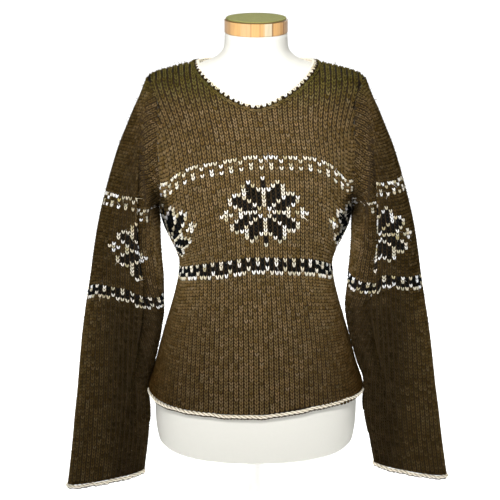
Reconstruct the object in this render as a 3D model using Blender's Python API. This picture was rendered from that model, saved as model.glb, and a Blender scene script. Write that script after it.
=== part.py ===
"""A hand-knitted pullover with a patterned yoke, on a limbless dress form with a plain stand.

Units are metres. The front faces -Y, +X is on the right as seen from the front and +Z is up.
The origin is the middle of the stand's underside.

The form is a stack of level rings. The cloth lies a little way off it: each point of a panel is
found by how far across the panel it is and how far down from the shoulder, then pushed out along
the form's own normal. The sleeves are lofted through tilted rings that start at the armholes.
"""

from collections import namedtuple

import bmesh
import bpy
import numpy as np

# Cloth
WALL = 0.003  # bulky stocking stitch
CLEARANCE = 0.0014  # between the form and the cloth that lies on it
GAP = 0.0003  # between neighbouring pieces
CORD_RADIUS = 0.0022  # twisted cord at the hem and cuffs
NECK_EDGE_WIDTH = 0.006
NECK_EDGE_LIFT = 0.0006  # the neck edging stands this much proud of the panels

# Cut of the body, measured on the form
NECK_HEIGHT = 0.7553  # where the shoulder seams meet the neck
HEM_HEIGHT = 0.2110
BODY_DROP = NECK_HEIGHT - HEM_HEIGHT
NECK_HALF_WIDTH = 0.095
SHOULDER_TIP_HEIGHT = 0.7335
SHOULDER_HALF_WIDTH = 0.1695  # the form's half width at the shoulder's tip
NECK_SHARE = NECK_HALF_WIDTH / SHOULDER_HALF_WIDTH  # of a panel's width
V_NECK_DEPTH = 0.052
V_NECK_POWER = 1.65  # 1 is a straight-sided V
BACK_NECK_DEPTH = 0.010
BACK_NECK_POWER = 3.0
UNDERARM_DROP = 0.2255  # below the neck's corner
ARMHOLE_HALF_DEPTH = 0.054  # from the side line to the armhole's edge
ARMHOLE_POWER = 2.4
GRAIN_BLEND = 0.07  # over which the shoulder's straight grain turns into even spacing
HEM_LIFT_RIGHT = 0.009  # the hem rides up on one side of the front
HEM_LIFT_START = 0.350

# Form and stand
CAP_TOP = 0.830
CAP_RADIUS = 0.050
CAP_HEIGHT = 0.0235
CAP_BEVEL = 0.0015
FELT_THICKNESS = 0.0015
FELT_RADIUS = 0.0475
FORM_TOP = CAP_TOP - CAP_HEIGHT - GAP
FORM_BOTTOM = 0.116
BASE_RADIUS = 0.110
BASE_HEIGHT = 0.012
BASE_BEVEL = 0.003
POST_RADIUS = 0.014

# Mesh density
NECK_STEPS = 16  # columns of a panel across the neck
SHOULDER_STEPS = 5  # columns along each shoulder seam
ARMHOLE_STEPS = 16  # rows from shoulder to underarm
ARMHOLE_SPACING = 1.35  # above 1, the rows are closer together at the shoulder
SIDE_STEPS = 10  # rows from underarm to hem
FORM_SIDES = 36
LOWER_SLEEVE_RINGS = 12
CORD_SIDES = 6
TURNED_SIDES = 40
FINE_SAMPLES = 361  # points used to measure along a curve
ROUGH_SAMPLES = 64

FRONT, BACK = -1, 1
LEFT, RIGHT = -1, 1
SMALL = 1e-4

FormRing = namedtuple("FormRing", "height half_width front back roundness ease")
# ease is how far the cloth hangs off the form beyond the clearance
FORM_RINGS = (
    FormRing(0.116, 0.1600, 0.1170, 0.1080, 2.30, 0.0000),
    FormRing(0.122, 0.1650, 0.1220, 0.1130, 2.30, 0.0000),
    FormRing(0.160, 0.1695, 0.1260, 0.1160, 2.35, 0.0060),
    FormRing(0.211, 0.1700, 0.1270, 0.1170, 2.40, 0.0062),
    FormRing(0.230, 0.1660, 0.1260, 0.1155, 2.40, 0.0045),
    FormRing(0.253, 0.1610, 0.1240, 0.1130, 2.40, 0.0022),
    FormRing(0.285, 0.1540, 0.1210, 0.1080, 2.35, 0.0010),
    FormRing(0.322, 0.1437, 0.1145, 0.1000, 2.30, 0.0008),
    FormRing(0.362, 0.1320, 0.1070, 0.0905, 2.25, 0.0008),
    FormRing(0.402, 0.1230, 0.1010, 0.0825, 2.20, 0.0008),
    FormRing(0.430, 0.1205, 0.0985, 0.0800, 2.20, 0.0008),
    FormRing(0.455, 0.1250, 0.1000, 0.0815, 2.20, 0.0026),
    FormRing(0.477, 0.1335, 0.1030, 0.0850, 2.20, 0.0040),
    FormRing(0.495, 0.1420, 0.1065, 0.0890, 2.25, 0.0036),
    FormRing(0.520, 0.1505, 0.1120, 0.0935, 2.30, 0.0016),
    FormRing(0.550, 0.1560, 0.1155, 0.0970, 2.30, 0.0006),
    FormRing(0.580, 0.1600, 0.1175, 0.0985, 2.30, 0.0000),
    FormRing(0.620, 0.1650, 0.1140, 0.0965, 2.30, 0.0000),
    FormRing(0.660, 0.1685, 0.1045, 0.0900, 2.25, 0.0000),
    FormRing(0.700, 0.1710, 0.0875, 0.0790, 2.15, 0.0006),
    FormRing(0.724, 0.1712, 0.0755, 0.0700, 2.00, 0.0016),
    FormRing(0.7335, 0.1695, 0.0705, 0.0655, 1.85, 0.0017),
    FormRing(0.7410, 0.1510, 0.0665, 0.0620, 1.80, 0.0016),
    FormRing(0.7490, 0.1235, 0.0620, 0.0585, 1.85, 0.0008),
    FormRing(0.7553, 0.0950, 0.0585, 0.0555, 1.95, 0.0000),
    FormRing(0.7620, 0.0735, 0.0545, 0.0525, 2.00, 0.0000),
    FormRing(0.7680, 0.0630, 0.0520, 0.0510, 2.00, 0.0000),
    FormRing(0.7750, 0.0555, 0.0505, 0.0500, 2.00, 0.0000),
    FormRing(0.7850, 0.0505, 0.0490, 0.0490, 2.00, 0.0000),
    FormRing(0.8065, 0.0495, 0.0495, 0.0495, 2.00, 0.0000),
)

SleeveRing = namedtuple(
    "SleeveRing", "outer_x outer_z inner_x inner_z middle_y half_depth fold_angle fold_depth"
)
# Each ring's outermost and innermost points in the front view, its middle and half depth from
# front to back, and the place and depth of the long fold that runs down the sleeve's front.
# Fold angles go from the outermost point, 0, by way of the front, 90, to the innermost, 180.
SLEEVE_RINGS = (
    SleeveRing(0.1768, 0.7240, 0.1572, 0.5245, 0.000, 0.056, 25, 0.003),
    SleeveRing(0.1805, 0.7040, 0.1592, 0.5248, 0.000, 0.060, 42, 0.005),
    SleeveRing(0.1940, 0.6840, 0.1602, 0.5210, -0.001, 0.064, 58, 0.008),
    SleeveRing(0.2070, 0.6580, 0.1600, 0.5145, -0.002, 0.067, 70, 0.011),
    SleeveRing(0.2205, 0.6257, 0.1592, 0.5060, -0.003, 0.070, 79, 0.013),
    SleeveRing(0.2325, 0.5890, 0.1585, 0.4960, -0.004, 0.071, 86, 0.014),
    SleeveRing(0.2445, 0.5480, 0.1580, 0.4840, -0.005, 0.070, 92, 0.014),
    SleeveRing(0.2550, 0.5070, 0.1570, 0.4650, -0.006, 0.067, 96, 0.014),
    SleeveRing(0.2640, 0.4600, 0.1545, 0.4350, -0.008, 0.062, 101, 0.013),
    SleeveRing(0.2715, 0.4100, 0.1515, 0.3950, -0.010, 0.056, 106, 0.012),
    SleeveRing(0.2800, 0.3600, 0.1515, 0.3550, -0.012, 0.049, 110, 0.010),
    SleeveRing(0.2900, 0.2980, 0.1600, 0.3050, -0.014, 0.042, 112, 0.006),
    SleeveRing(0.2970, 0.2420, 0.1760, 0.2500, -0.016, 0.036, 113, 0.003),
    SleeveRing(0.3020, 0.2000, 0.1870, 0.2120, -0.017, 0.032, 114, 0.002),
    SleeveRing(0.3090, 0.1500, 0.1850, 0.1680, -0.018, 0.028, 114, 0.001),
    SleeveRing(0.3160, 0.0950, 0.1900, 0.1200, -0.020, 0.024, 115, 0.000),
    SleeveRing(0.3270, 0.0220, 0.1970, 0.0600, -0.022, 0.019, 115, 0.000),
)
CAP_RINGS = 8  # the first sleeve rings, one loop each; below them the loops are evenly spaced
SLEEVE_ROUNDNESS = 2.15
FOLD_WIDTH = 0.009
BACK_FOLD_SHARE = 0.55  # the fold behind, as a share of the one in front
FOLD_SIDE = 0.28125  # the share of a ring's sides before the one that runs down the fold
FOLD_SIDE_SHARE = (0.20, 0.31)  # least and most of the way round that this side may lie
SWING_START = 0.36  # below this height the right sleeve hangs a little further out
SWING = {LEFT: -0.005, RIGHT: 0.005}
FORM_EXTRA_HEIGHTS = (0.187, 0.640, 0.680, 0.713)  # more rings where the form curves most

COLOURS = {
    "wool": (0.115, 0.078, 0.032),
    "cream": (0.82, 0.77, 0.66),
    "cover": (0.86, 0.84, 0.79),
    "beech": (0.78, 0.50, 0.24),
    "felt": (0.27, 0.27, 0.10),
    "stand": (0.85, 0.84, 0.81),
}


# ---- tables and curves ----


def curve(table, key, value):
    """A smooth curve through one column of a table, which never overshoots its rows."""
    rows = sorted(table, key=lambda row: getattr(row, key))
    x = np.array([getattr(row, key) for row in rows], float)
    y = np.array([getattr(row, value) for row in rows], float)
    slope = np.diff(y) / np.diff(x)
    tangent = np.concatenate([slope[:1], np.zeros(len(x) - 2), slope[-1:]])
    product, total = slope[:-1] * slope[1:], slope[:-1] + slope[1:]
    same_way = product > 0
    tangent[1:-1][same_way] = 2 * product[same_way] / total[same_way]

    def read(at):
        at = np.clip(at, x[0], x[-1])
        i = np.clip(np.searchsorted(x, at) - 1, 0, len(x) - 2)
        width = x[i + 1] - x[i]
        t = (at - x[i]) / width
        return (
            (1 + 2 * t) * (1 - t) ** 2 * y[i]
            + t * (1 - t) ** 2 * width * tangent[i]
            + t * t * (3 - 2 * t) * y[i + 1]
            + t * t * (t - 1) * width * tangent[i + 1]
        )

    return read


def smooth_step(t):
    t = np.clip(t, 0, 1)
    return t * t * (3 - 2 * t)


def unit(vectors):
    return vectors / np.maximum(np.linalg.norm(vectors, axis=-1, keepdims=True), 1e-12)


def length_along(points):
    """Lengths from the first of a line of points to each of them."""
    steps = np.linalg.norm(np.diff(points, axis=0), axis=1)
    return np.concatenate([[0], np.cumsum(steps)])


def slope_of(read, at):
    return (read(at + SMALL) - read(at - SMALL)) / (2 * SMALL)


form_half_width = curve(FORM_RINGS, "height", "half_width")
form_front = curve(FORM_RINGS, "height", "front")
form_back = curve(FORM_RINGS, "height", "back")
form_roundness = curve(FORM_RINGS, "height", "roundness")
cloth_ease = curve(FORM_RINGS, "height", "ease")


# ---- the form's surface ----


def form_depth(side, height):
    return form_front(height) if side == FRONT else form_back(height)


def on_form(side, angle, height):
    """Points and outward normals on the form. The angle is 0 at +X and half a turn at -X."""
    a, b, n = form_half_width(height), form_depth(side, height), form_roundness(height)
    c, s = np.cos(angle), np.sin(angle)
    x = a * np.sign(c) * np.abs(c) ** (2 / n)
    y = side * b * np.abs(s) ** (2 / n)
    across, along = np.abs(x / a), np.abs(y / b)
    rise = across**n * slope_of(form_half_width, height) / a
    rise = rise + along**n * slope_of(lambda z: form_depth(side, z), height) / b
    normal = np.stack(
        [np.sign(x) * across ** (n - 1) / a, side * along ** (n - 1) / b, -rise], axis=-1
    )
    return np.stack([x, y, height + 0 * x], axis=-1), unit(normal)


def angle_at(x, height):
    """The angle on the form's ring whose point lies at x."""
    share = np.clip(np.abs(x) / form_half_width(height), 0, 1)
    return np.arccos(share ** (form_roundness(height) / 2))


# ---- how a panel lies on the form ----


def neckline(side):
    """Half of the neck's edge, from its middle to the shoulder: shares of its length, places
    across as a share of the neck's half width, and drops below the shoulder."""
    across = np.linspace(0, 1, FINE_SAMPLES)
    if side == FRONT:
        drop = V_NECK_DEPTH * (1 - across**V_NECK_POWER)
    else:
        drop = BACK_NECK_DEPTH * (1 - across**BACK_NECK_POWER)
    x, height = across * NECK_HALF_WIDTH, NECK_HEIGHT - drop
    points, _ = on_form(side, angle_at(x, height), height)
    length = length_along(points)
    return length / length[-1], across, drop


NECKLINES = {FRONT: neckline(FRONT), BACK: neckline(BACK)}


def top_drop(side, across):
    """How far below the shoulder line a panel's top edge lies."""
    share, _, drop = NECKLINES[side]
    return np.where(
        np.abs(across) < NECK_SHARE, np.interp(np.abs(across) / NECK_SHARE, share, drop), 0
    )


SHOULDER_HEIGHTS = np.linspace(NECK_HEIGHT, SHOULDER_TIP_HEIGHT, ROUGH_SAMPLES)
SHOULDER_WIDTHS = form_half_width(SHOULDER_HEIGHTS)


def shoulder_slope(across):
    """How far the shoulder line has fallen below the neck's corner."""
    x = np.abs(across) * SHOULDER_HALF_WIDTH
    height = np.interp(x, SHOULDER_WIDTHS, SHOULDER_HEIGHTS)
    return np.where(x > NECK_HALF_WIDTH, NECK_HEIGHT - height, 0)


def row_height(side, across, down):
    """The height of a point that is a given distance down from the shoulder line."""
    slope = shoulder_slope(across) * (1 - down / BODY_DROP)
    height = NECK_HEIGHT - down - slope
    if side == BACK:
        return height
    lift = HEM_LIFT_RIGHT * np.sin(np.pi * np.clip(across, 0, 1)) ** 2
    near_hem = smooth_step((down - HEM_LIFT_START) / (BODY_DROP - HEM_LIFT_START))
    return height + lift * near_hem


def armhole_angle(side, down):
    """The angle on the form's ring at which a panel ends."""
    height = row_height(BACK, 1.0, down)
    top, bottom = row_height(BACK, 1.0, 0.0), row_height(BACK, 1.0, UNDERARM_DROP)
    part = np.clip(np.abs((2 * height - top - bottom) / (top - bottom)), 0, 1)
    depth = ARMHOLE_HALF_DEPTH * (1 - part**ARMHOLE_POWER) ** (1 / ARMHOLE_POWER)
    share = np.clip(depth / form_depth(side, height), 0, 1)
    return np.arcsin(share ** (form_roundness(height) / 2))


def even_angle(side, across, height, edge_angle):
    """The angle whose point lies the given share of the way from the middle to the edge."""
    angles = np.linspace(np.pi / 2, edge_angle, ROUGH_SAMPLES)
    points, _ = on_form(side, angles, np.full(ROUGH_SAMPLES, height))
    length = length_along(points)
    return np.interp(across * length[-1], length, angles)


def lay(side, across, down):
    """Angles and heights on the form for points of a panel, given as flat arrays."""
    share, neck_across, _ = NECKLINES[side]
    edge = np.abs(across)
    height = row_height(side, across, down)
    edge_angle = armhole_angle(side, down)
    even = np.array(
        [even_angle(side, *each) for each in zip(edge, height, edge_angle, strict=True)]
    )
    even_x = on_form(side, even, height)[0][:, 0]
    edge_height = row_height(BACK, 1.0, down)
    edge_x = on_form(side, edge_angle, edge_height)[0][:, 0]
    in_neck = edge < NECK_SHARE
    neck_x = np.interp(edge / NECK_SHARE, share, neck_across) * NECK_SHARE
    straight_x = np.where(in_neck, neck_x, edge) * edge_x
    blend = smooth_step((down - top_drop(side, across)) / GRAIN_BLEND)
    x = straight_x * (1 - blend) + even_x * blend
    angle = np.where(blend >= 1, even, angle_at(x, height))
    return np.where(across < 0, np.pi - angle, angle), height


def cloth(side, across, down, depth=0.0):
    """Points of a panel and its normals: depth 0 is its outer face and WALL its inner one."""
    shape = across.shape
    angle, height = lay(side, across.ravel(), down.ravel())
    points, normals = on_form(side, angle, height)
    off = CLEARANCE + WALL + cloth_ease(height) - depth
    points = points + normals * off[:, None]
    return points.reshape(*shape, 3), normals.reshape(*shape, 3)


def armhole_rows():
    """Distances down a panel's edge, spaced along the armhole and closest at the shoulder."""
    down = np.linspace(0, UNDERARM_DROP, FINE_SAMPLES)
    points, _ = cloth(FRONT, np.ones(FINE_SAMPLES), down)
    length = length_along(points)
    share = np.linspace(0, 1, ARMHOLE_STEPS + 1) ** ARMHOLE_SPACING
    return np.interp(share * length[-1], length, down)


def panel_grid(side):
    """Shares across and distances down for each point of a panel, row by row."""
    neck = np.linspace(-NECK_SHARE, NECK_SHARE, NECK_STEPS + 1)
    shoulder = np.linspace(NECK_SHARE, 1, SHOULDER_STEPS + 1)[1:]
    columns = np.concatenate([-shoulder[::-1], neck, shoulder])
    below = np.linspace(UNDERARM_DROP, BODY_DROP, SIDE_STEPS + 1)[1:]
    rows = np.concatenate([armhole_rows(), below])
    across, down = np.meshgrid(columns, rows)
    top = top_drop(side, across)
    return across, top + (BODY_DROP - top) * down / BODY_DROP


# ---- solids ----


def material(name, colour, roughness):
    made = bpy.data.materials.new(name)
    made.use_nodes = True
    shader = made.node_tree.nodes["Principled BSDF"]
    shader.inputs["Base Color"].default_value = (*colour, 1)
    shader.inputs["Roughness"].default_value = roughness
    shader.inputs["Metallic"].default_value = 0
    return made


def add_solid(name, points, faces, colour, roughness=0.9):
    """One closed body, with its faces turned outwards."""
    mesh = bpy.data.meshes.new(name)
    mesh.from_pydata([tuple(point) for point in points], [], faces)
    body = bmesh.new()
    body.from_mesh(mesh)
    bmesh.ops.triangulate(body, faces=body.faces)
    bmesh.ops.recalc_face_normals(body, faces=body.faces)
    if body.calc_volume(signed=True) < 0:
        bmesh.ops.reverse_faces(body, faces=body.faces)
    body.to_mesh(mesh)
    body.free()
    mesh.shade_smooth()
    mesh.materials.append(material(name + "_" + colour, COLOURS[colour], roughness))
    solid = bpy.data.objects.new(name, mesh)
    bpy.context.scene.collection.objects.link(solid)
    return solid


def grid_faces(rows, columns, start=0, closed=False):
    """Quads of a grid of points that are numbered row by row."""
    wide = columns if closed else columns - 1
    return [
        (
            start + r * columns + c,
            start + r * columns + (c + 1) % columns,
            start + (r + 1) * columns + (c + 1) % columns,
            start + (r + 1) * columns + c,
        )
        for r in range(rows - 1)
        for c in range(wide)
    ]


def panel_solid(name, outer, inner, colour):
    """A wall between two grids, closed all round its border."""
    rows, columns = outer.shape[:2]
    count = rows * columns
    border = [c for c in range(columns)]
    border += [r * columns + columns - 1 for r in range(1, rows)]
    border += [(rows - 1) * columns + c for c in range(columns - 2, -1, -1)]
    border += [r * columns for r in range(rows - 2, 0, -1)]
    faces = grid_faces(rows, columns) + grid_faces(rows, columns, count)
    for here, there in zip(border, border[1:] + border[:1], strict=True):
        faces.append((here, there, there + count, here + count))
    points = np.concatenate([outer.reshape(-1, 3), inner.reshape(-1, 3)])
    return add_solid(name, points, faces, colour)


def tube_solid(name, outer, inner, colour):
    """A wall between two tubes of rings, open at both ends."""
    rows, columns = outer.shape[:2]
    count = rows * columns
    faces = grid_faces(rows, columns, 0, True) + grid_faces(rows, columns, count, True)
    for first in (0, (rows - 1) * columns):
        for c in range(columns):
            here, there = first + c, first + (c + 1) % columns
            faces.append((here, there, there + count, here + count))
    points = np.concatenate([outer.reshape(-1, 3), inner.reshape(-1, 3)])
    return add_solid(name, points, faces, colour)


def stack_solid(name, rings, colour, roughness=0.5):
    """A solid between rings of points, with a flat lid at each end."""
    rows, columns = rings.shape[:2]
    faces = grid_faces(rows, columns, 0, True)
    faces.append(tuple(range(columns)))
    faces.append(tuple(range((rows - 1) * columns, rows * columns)))
    return add_solid(name, rings.reshape(-1, 3), faces, colour, roughness)


def hoop_solid(name, loops, colour):
    """A solid hoop between closed loops of points, each joined to the next and the last to the
    first."""
    count, length = loops.shape[:2]
    faces = grid_faces(count, length, 0, True)
    last = (count - 1) * length
    for c in range(length):
        there = (c + 1) % length
        faces.append((last + c, last + there, there, c))
    return add_solid(name, loops.reshape(-1, 3), faces, colour)


def turned(name, profile, colour, roughness=0.5):
    """A turned solid from (radius, height) pairs."""
    angle = np.linspace(0, 2 * np.pi, TURNED_SIDES, endpoint=False)
    rings = np.array(
        [
            np.stack([r * np.cos(angle), r * np.sin(angle), np.full(TURNED_SIDES, z)], axis=1)
            for r, z in profile
        ]
    )
    return stack_solid(name, rings, colour, roughness)


# ---- sweater ----


def panel(side):
    """Outer and inner points of the front or the back, parted from the other at the seams."""
    across, down = panel_grid(side)
    outer, _ = cloth(side, across, down)
    inner, _ = cloth(side, across, down, WALL)
    for points in (outer, inner):
        on_seam = np.abs(points[..., 1]) < GAP / 2
        points[..., 1] = np.where(on_seam, side * GAP / 2, points[..., 1])
    return outer, inner


def loop(front, back):
    """Joins a front edge and a back edge, both from the same start to the same end."""
    start, end = (front[:1] + back[:1]) / 2, (front[-1:] + back[-1:]) / 2
    return np.concatenate([start, front[1:-1], end, back[-2:0:-1]])


def armhole(panels, hand):
    """The outer and inner edge of an armhole, from the shoulder by the front and underarm."""
    column = -1 if hand == RIGHT else 0
    rows = slice(0, ARMHOLE_STEPS + 1)
    (front_out, front_in), (back_out, back_in) = panels[FRONT], panels[BACK]
    outer = loop(front_out[rows, column], back_out[rows, column])
    inner = loop(front_in[rows, column], back_in[rows, column])
    return step_off(outer, inner, GAP)


def step_off(outer, inner, gap):
    """Moves a loop along the cloth, away from the panel that it edges and into the opening."""
    ahead = unit(np.roll(outer, -1, axis=0) - np.roll(outer, 1, axis=0))
    normal = unit(outer - inner)
    onward = unit(np.cross(normal, ahead))
    inwards = outer.mean(axis=0) - outer
    onward *= np.sign((onward * inwards).sum(axis=1, keepdims=True))
    return outer + gap * onward, inner + gap * onward


def sleeve_table():
    """The sleeve's columns as curves of the ring's number."""
    numbered = namedtuple("numbered", ("ring", *SleeveRing._fields))
    rows = [numbered(number, *ring) for number, ring in enumerate(SLEEVE_RINGS, 1)]
    return {field: curve(rows, "ring", field) for field in SleeveRing._fields}


SLEEVE = sleeve_table()


def fold(share, fold_share, perimeter):
    """How deep a fold is at each share of the way round, 1 at its bottom."""
    away = (share - fold_share + 0.5) % 1 - 0.5
    return np.exp(-((away * perimeter / FOLD_WIDTH) ** 2) / 2)


def sleeve_ring(hand, number, sides):
    """One ring of a sleeve's outer face, from its outermost point by way of the front. The same
    side of each ring runs down the fold, and the other sides are evenly spaced between."""
    ring = {field: float(read(number)) for field, read in SLEEVE.items()}
    top = np.array([ring["outer_x"], 0, ring["outer_z"]])
    low = np.array([ring["inner_x"], 0, ring["inner_z"]])
    middle, reach = (top + low) / 2, (top - low) / 2
    middle[1] = ring["middle_y"]
    forward = np.array([0, -ring["half_depth"], 0])
    angle = np.linspace(0, 2 * np.pi, FINE_SAMPLES)
    c, s = np.cos(angle), np.sin(angle)
    power = 2 / SLEEVE_ROUNDNESS
    points = middle + np.outer(np.sign(c) * np.abs(c) ** power, reach)
    points += np.outer(np.sign(s) * np.abs(s) ** power, forward)
    length = length_along(points)
    fold_share = np.interp(np.radians(ring["fold_angle"]), angle, length) / length[-1]
    front = np.clip(fold_share, *FOLD_SIDE_SHARE)
    share = np.linspace(0, 1, sides, endpoint=False)
    share = np.interp(share, [0, FOLD_SIDE, 1 - FOLD_SIDE, 1], [0, front, 1 - front, 1])
    at = np.interp(share * length[-1], length, angle)
    even = np.stack([np.interp(at, angle, points[:, k]) for k in range(3)], axis=1)
    deep = fold(share, fold_share, length[-1])
    deep += BACK_FOLD_SHARE * fold(share, 1 - fold_share, length[-1])
    even += unit(middle - even) * (deep * ring["fold_depth"])[:, None]
    lower = np.clip((SWING_START - even[:, 2]) / SWING_START, 0, 1)
    even[:, 0] = hand * even[:, 0] + hand * SWING[hand] * lower
    return even


def tube_normals(rings):
    """Outward normals of a tube of rings."""
    around = np.roll(rings, -1, axis=1) - np.roll(rings, 1, axis=1)
    along = np.gradient(rings, axis=0)
    normals = unit(np.cross(around, along))
    outward = rings - rings.mean(axis=1, keepdims=True)
    return normals * np.sign((normals * outward).sum())


def sleeve(panels, hand):
    """Outer and inner rings of a sleeve, from the armhole to the cuff."""
    first_out, first_in = armhole(panels, hand)
    sides = len(first_out)
    numbers = np.concatenate(
        [
            np.arange(1, CAP_RINGS),
            np.linspace(CAP_RINGS, len(SLEEVE_RINGS), LOWER_SLEEVE_RINGS),
        ]
    )
    rings = np.array([first_out] + [sleeve_ring(hand, number, sides) for number in numbers])
    inner = rings - WALL * tube_normals(rings)
    inner[0] = first_in
    return rings, inner


def cord(name, outer, inner, onward):
    """A round cord along the loop of an open edge, clear of it by the gap."""
    centre = (outer + inner) / 2 + (GAP + CORD_RADIUS) * onward
    sideways = unit(outer - inner)
    angle = np.linspace(0, 2 * np.pi, CORD_SIDES, endpoint=False)
    rings = [centre + CORD_RADIUS * (np.cos(a) * sideways + np.sin(a) * onward) for a in angle]
    return hoop_solid(name, np.array(rings), "cream")


def neck_edge(panels):
    """The flat edging round the neck, inside the panels' top edges."""
    neck = slice(SHOULDER_STEPS, SHOULDER_STEPS + NECK_STEPS + 1)
    (front_out, front_in), (back_out, back_in) = panels[FRONT], panels[BACK]
    outer = loop(front_out[0, neck], back_out[0, neck])
    inner = loop(front_in[0, neck], back_in[0, neck])
    near = step_off(outer, inner, GAP)
    far = step_off(outer, inner, GAP + NECK_EDGE_WIDTH)
    lift = NECK_EDGE_LIFT * unit(outer - inner)
    rings = [near[0] + lift, far[0] + lift, far[1] + lift, near[1] + lift]
    return hoop_solid("neck_edge", np.array(rings), "cream")


def sweater():
    panels = {FRONT: panel(FRONT), BACK: panel(BACK)}
    panel_solid("sweater_front", *panels[FRONT], "wool")
    panel_solid("sweater_back", *panels[BACK], "wool")
    neck_edge(panels)
    hem_out = loop(panels[FRONT][0][-1], panels[BACK][0][-1])
    hem_in = loop(panels[FRONT][1][-1], panels[BACK][1][-1])
    down = np.array([0.0, 0.0, -1.0])
    cord("hem_edge", hem_out, hem_in, np.broadcast_to(down, hem_out.shape))
    for hand, word in ((LEFT, "left"), (RIGHT, "right")):
        outer, inner = sleeve(panels, hand)
        tube_solid("sleeve_" + word, outer, inner, "wool")
        onward = unit(outer[-1] - outer[-2])
        onward = np.broadcast_to(unit(onward.mean(axis=0)), onward.shape)
        cord("cuff_edge_" + word, outer[-1], inner[-1], onward)


# ---- form and stand ----


def form_torso():
    heights = sorted({ring.height for ring in FORM_RINGS} | set(FORM_EXTRA_HEIGHTS))
    heights[-1] = FORM_TOP
    half = FORM_SIDES // 2
    rings = []
    for height in heights:
        level = np.full(half, height)
        back, _ = on_form(BACK, np.linspace(0, np.pi, half, endpoint=False), level)
        front, _ = on_form(FRONT, np.linspace(np.pi, 0, half, endpoint=False), level)
        rings.append(np.concatenate([back, front]))
    return stack_solid("form_torso", np.array(rings), "cover")


def stand():
    """The neck's cap and felt, and the post and base under the form."""
    cap_bottom = CAP_TOP - CAP_HEIGHT
    cap_top = CAP_TOP - FELT_THICKNESS - GAP
    cap = [
        (CAP_RADIUS - CAP_BEVEL, cap_bottom),
        (CAP_RADIUS, cap_bottom + CAP_BEVEL),
        (CAP_RADIUS, cap_top - CAP_BEVEL),
        (CAP_RADIUS - CAP_BEVEL, cap_top),
    ]
    turned("neck_cap", cap, "beech")
    felt = [(FELT_RADIUS, CAP_TOP - FELT_THICKNESS), (FELT_RADIUS, CAP_TOP)]
    turned("cap_felt", felt, "felt", 0.95)
    post = [(POST_RADIUS, BASE_HEIGHT + GAP), (POST_RADIUS, FORM_BOTTOM - GAP)]
    turned("stand_post", post, "stand")
    base = [
        (BASE_RADIUS, 0),
        (BASE_RADIUS, BASE_HEIGHT - BASE_BEVEL),
        (BASE_RADIUS - BASE_BEVEL, BASE_HEIGHT),
    ]
    turned("stand_base", base, "stand")


def main():
    for old in list(bpy.data.objects):
        bpy.data.objects.remove(old, do_unlink=True)
    sweater()
    form_torso()
    stand()


main()
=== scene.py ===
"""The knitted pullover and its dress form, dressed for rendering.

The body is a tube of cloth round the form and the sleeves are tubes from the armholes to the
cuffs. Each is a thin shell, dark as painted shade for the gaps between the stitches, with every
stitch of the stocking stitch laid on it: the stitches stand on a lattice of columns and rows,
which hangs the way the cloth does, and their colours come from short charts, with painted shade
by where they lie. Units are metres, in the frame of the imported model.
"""

import math
from collections import namedtuple

import bmesh
import bpy
import numpy as np
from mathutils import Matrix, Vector


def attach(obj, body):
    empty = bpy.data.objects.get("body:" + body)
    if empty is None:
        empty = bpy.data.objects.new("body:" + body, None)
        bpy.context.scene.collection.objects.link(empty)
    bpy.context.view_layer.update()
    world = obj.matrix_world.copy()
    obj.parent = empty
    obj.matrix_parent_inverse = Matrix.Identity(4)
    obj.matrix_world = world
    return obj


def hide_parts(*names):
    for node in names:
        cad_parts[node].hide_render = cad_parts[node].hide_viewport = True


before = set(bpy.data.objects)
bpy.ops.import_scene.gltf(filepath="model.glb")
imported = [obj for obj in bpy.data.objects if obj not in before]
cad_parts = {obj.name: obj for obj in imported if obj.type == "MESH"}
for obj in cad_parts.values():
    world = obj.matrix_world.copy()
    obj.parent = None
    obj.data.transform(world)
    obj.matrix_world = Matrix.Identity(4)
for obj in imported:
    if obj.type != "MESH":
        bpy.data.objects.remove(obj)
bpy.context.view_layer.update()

FRONT, BACK = -1, 1
LEFT, RIGHT = -1, 1
SMALL = 1e-4
GAP = 0.0003

# Cloth
WALL = 0.003
CLEARANCE = 0.0014
SHELL_DEPTH = 0.0019  # the shell, dark as painted shade, lies this far below the knit's face
SHELL_WALL = 0.0009
STITCH_DEPTH = 0.0014  # the middle of the yarn, below the knit's face

# Cut of the body, measured on the form
NECK_HEIGHT = 0.7553
HEM_HEIGHT = 0.2110
BODY_DROP = NECK_HEIGHT - HEM_HEIGHT
NECK_HALF_WIDTH = 0.095
SHOULDER_TIP_HEIGHT = 0.7335
SHOULDER_HALF_WIDTH = 0.1695
NECK_SHARE = NECK_HALF_WIDTH / SHOULDER_HALF_WIDTH
V_NECK_DEPTH = 0.052
V_NECK_POWER = 1.65
BACK_NECK_DEPTH = 0.010
BACK_NECK_POWER = 3.0
UNDERARM_DROP = 0.2255
ARMHOLE_HALF_DEPTH = 0.054
ARMHOLE_POWER = 2.4
GRAIN_BLEND = 0.07
HEM_LIFT_RIGHT = 0.009
HEM_LIFT_START = 0.350

# Form and stand
CAP_TOP = 0.830
CAP_HEIGHT = 0.0235
FELT_THICKNESS = 0.0015
FORM_BOTTOM = 0.116
FORM_TOP = CAP_TOP - CAP_HEIGHT - GAP

# Knit
HALF_COLUMNS = 36
SHOULDER_ROWS = 28  # from the shoulder seam to the upper band
CHART_ROWS = 32
SKIRT_ROWS = 41  # from the lower band to the hem
SLEEVE_PITCH = 0.0079  # width of a sleeve's stitch
SLEEVE_COLUMNS = (-27, 35)  # counted forwards from the outermost line
CUFF_ROWS = 58
SLEEVE_CAP_ROWS = 42
SLEEVE_ROW = 0.0055
HALF_GIRTH = 0.2  # about half the way round a sleeve
NARROWEST, SHORTEST = 0.12, 0.3  # a sleeve's smallest stitches, against its ordinary ones
EDGE_MARGIN = 0.0012  # how far inside a panel's edges its stitches stay
SEAM_OVERLAP = 0.0045  # how far the body's knit runs on under the sleeves
YARN_THICKNESS = 0.0017


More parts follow.
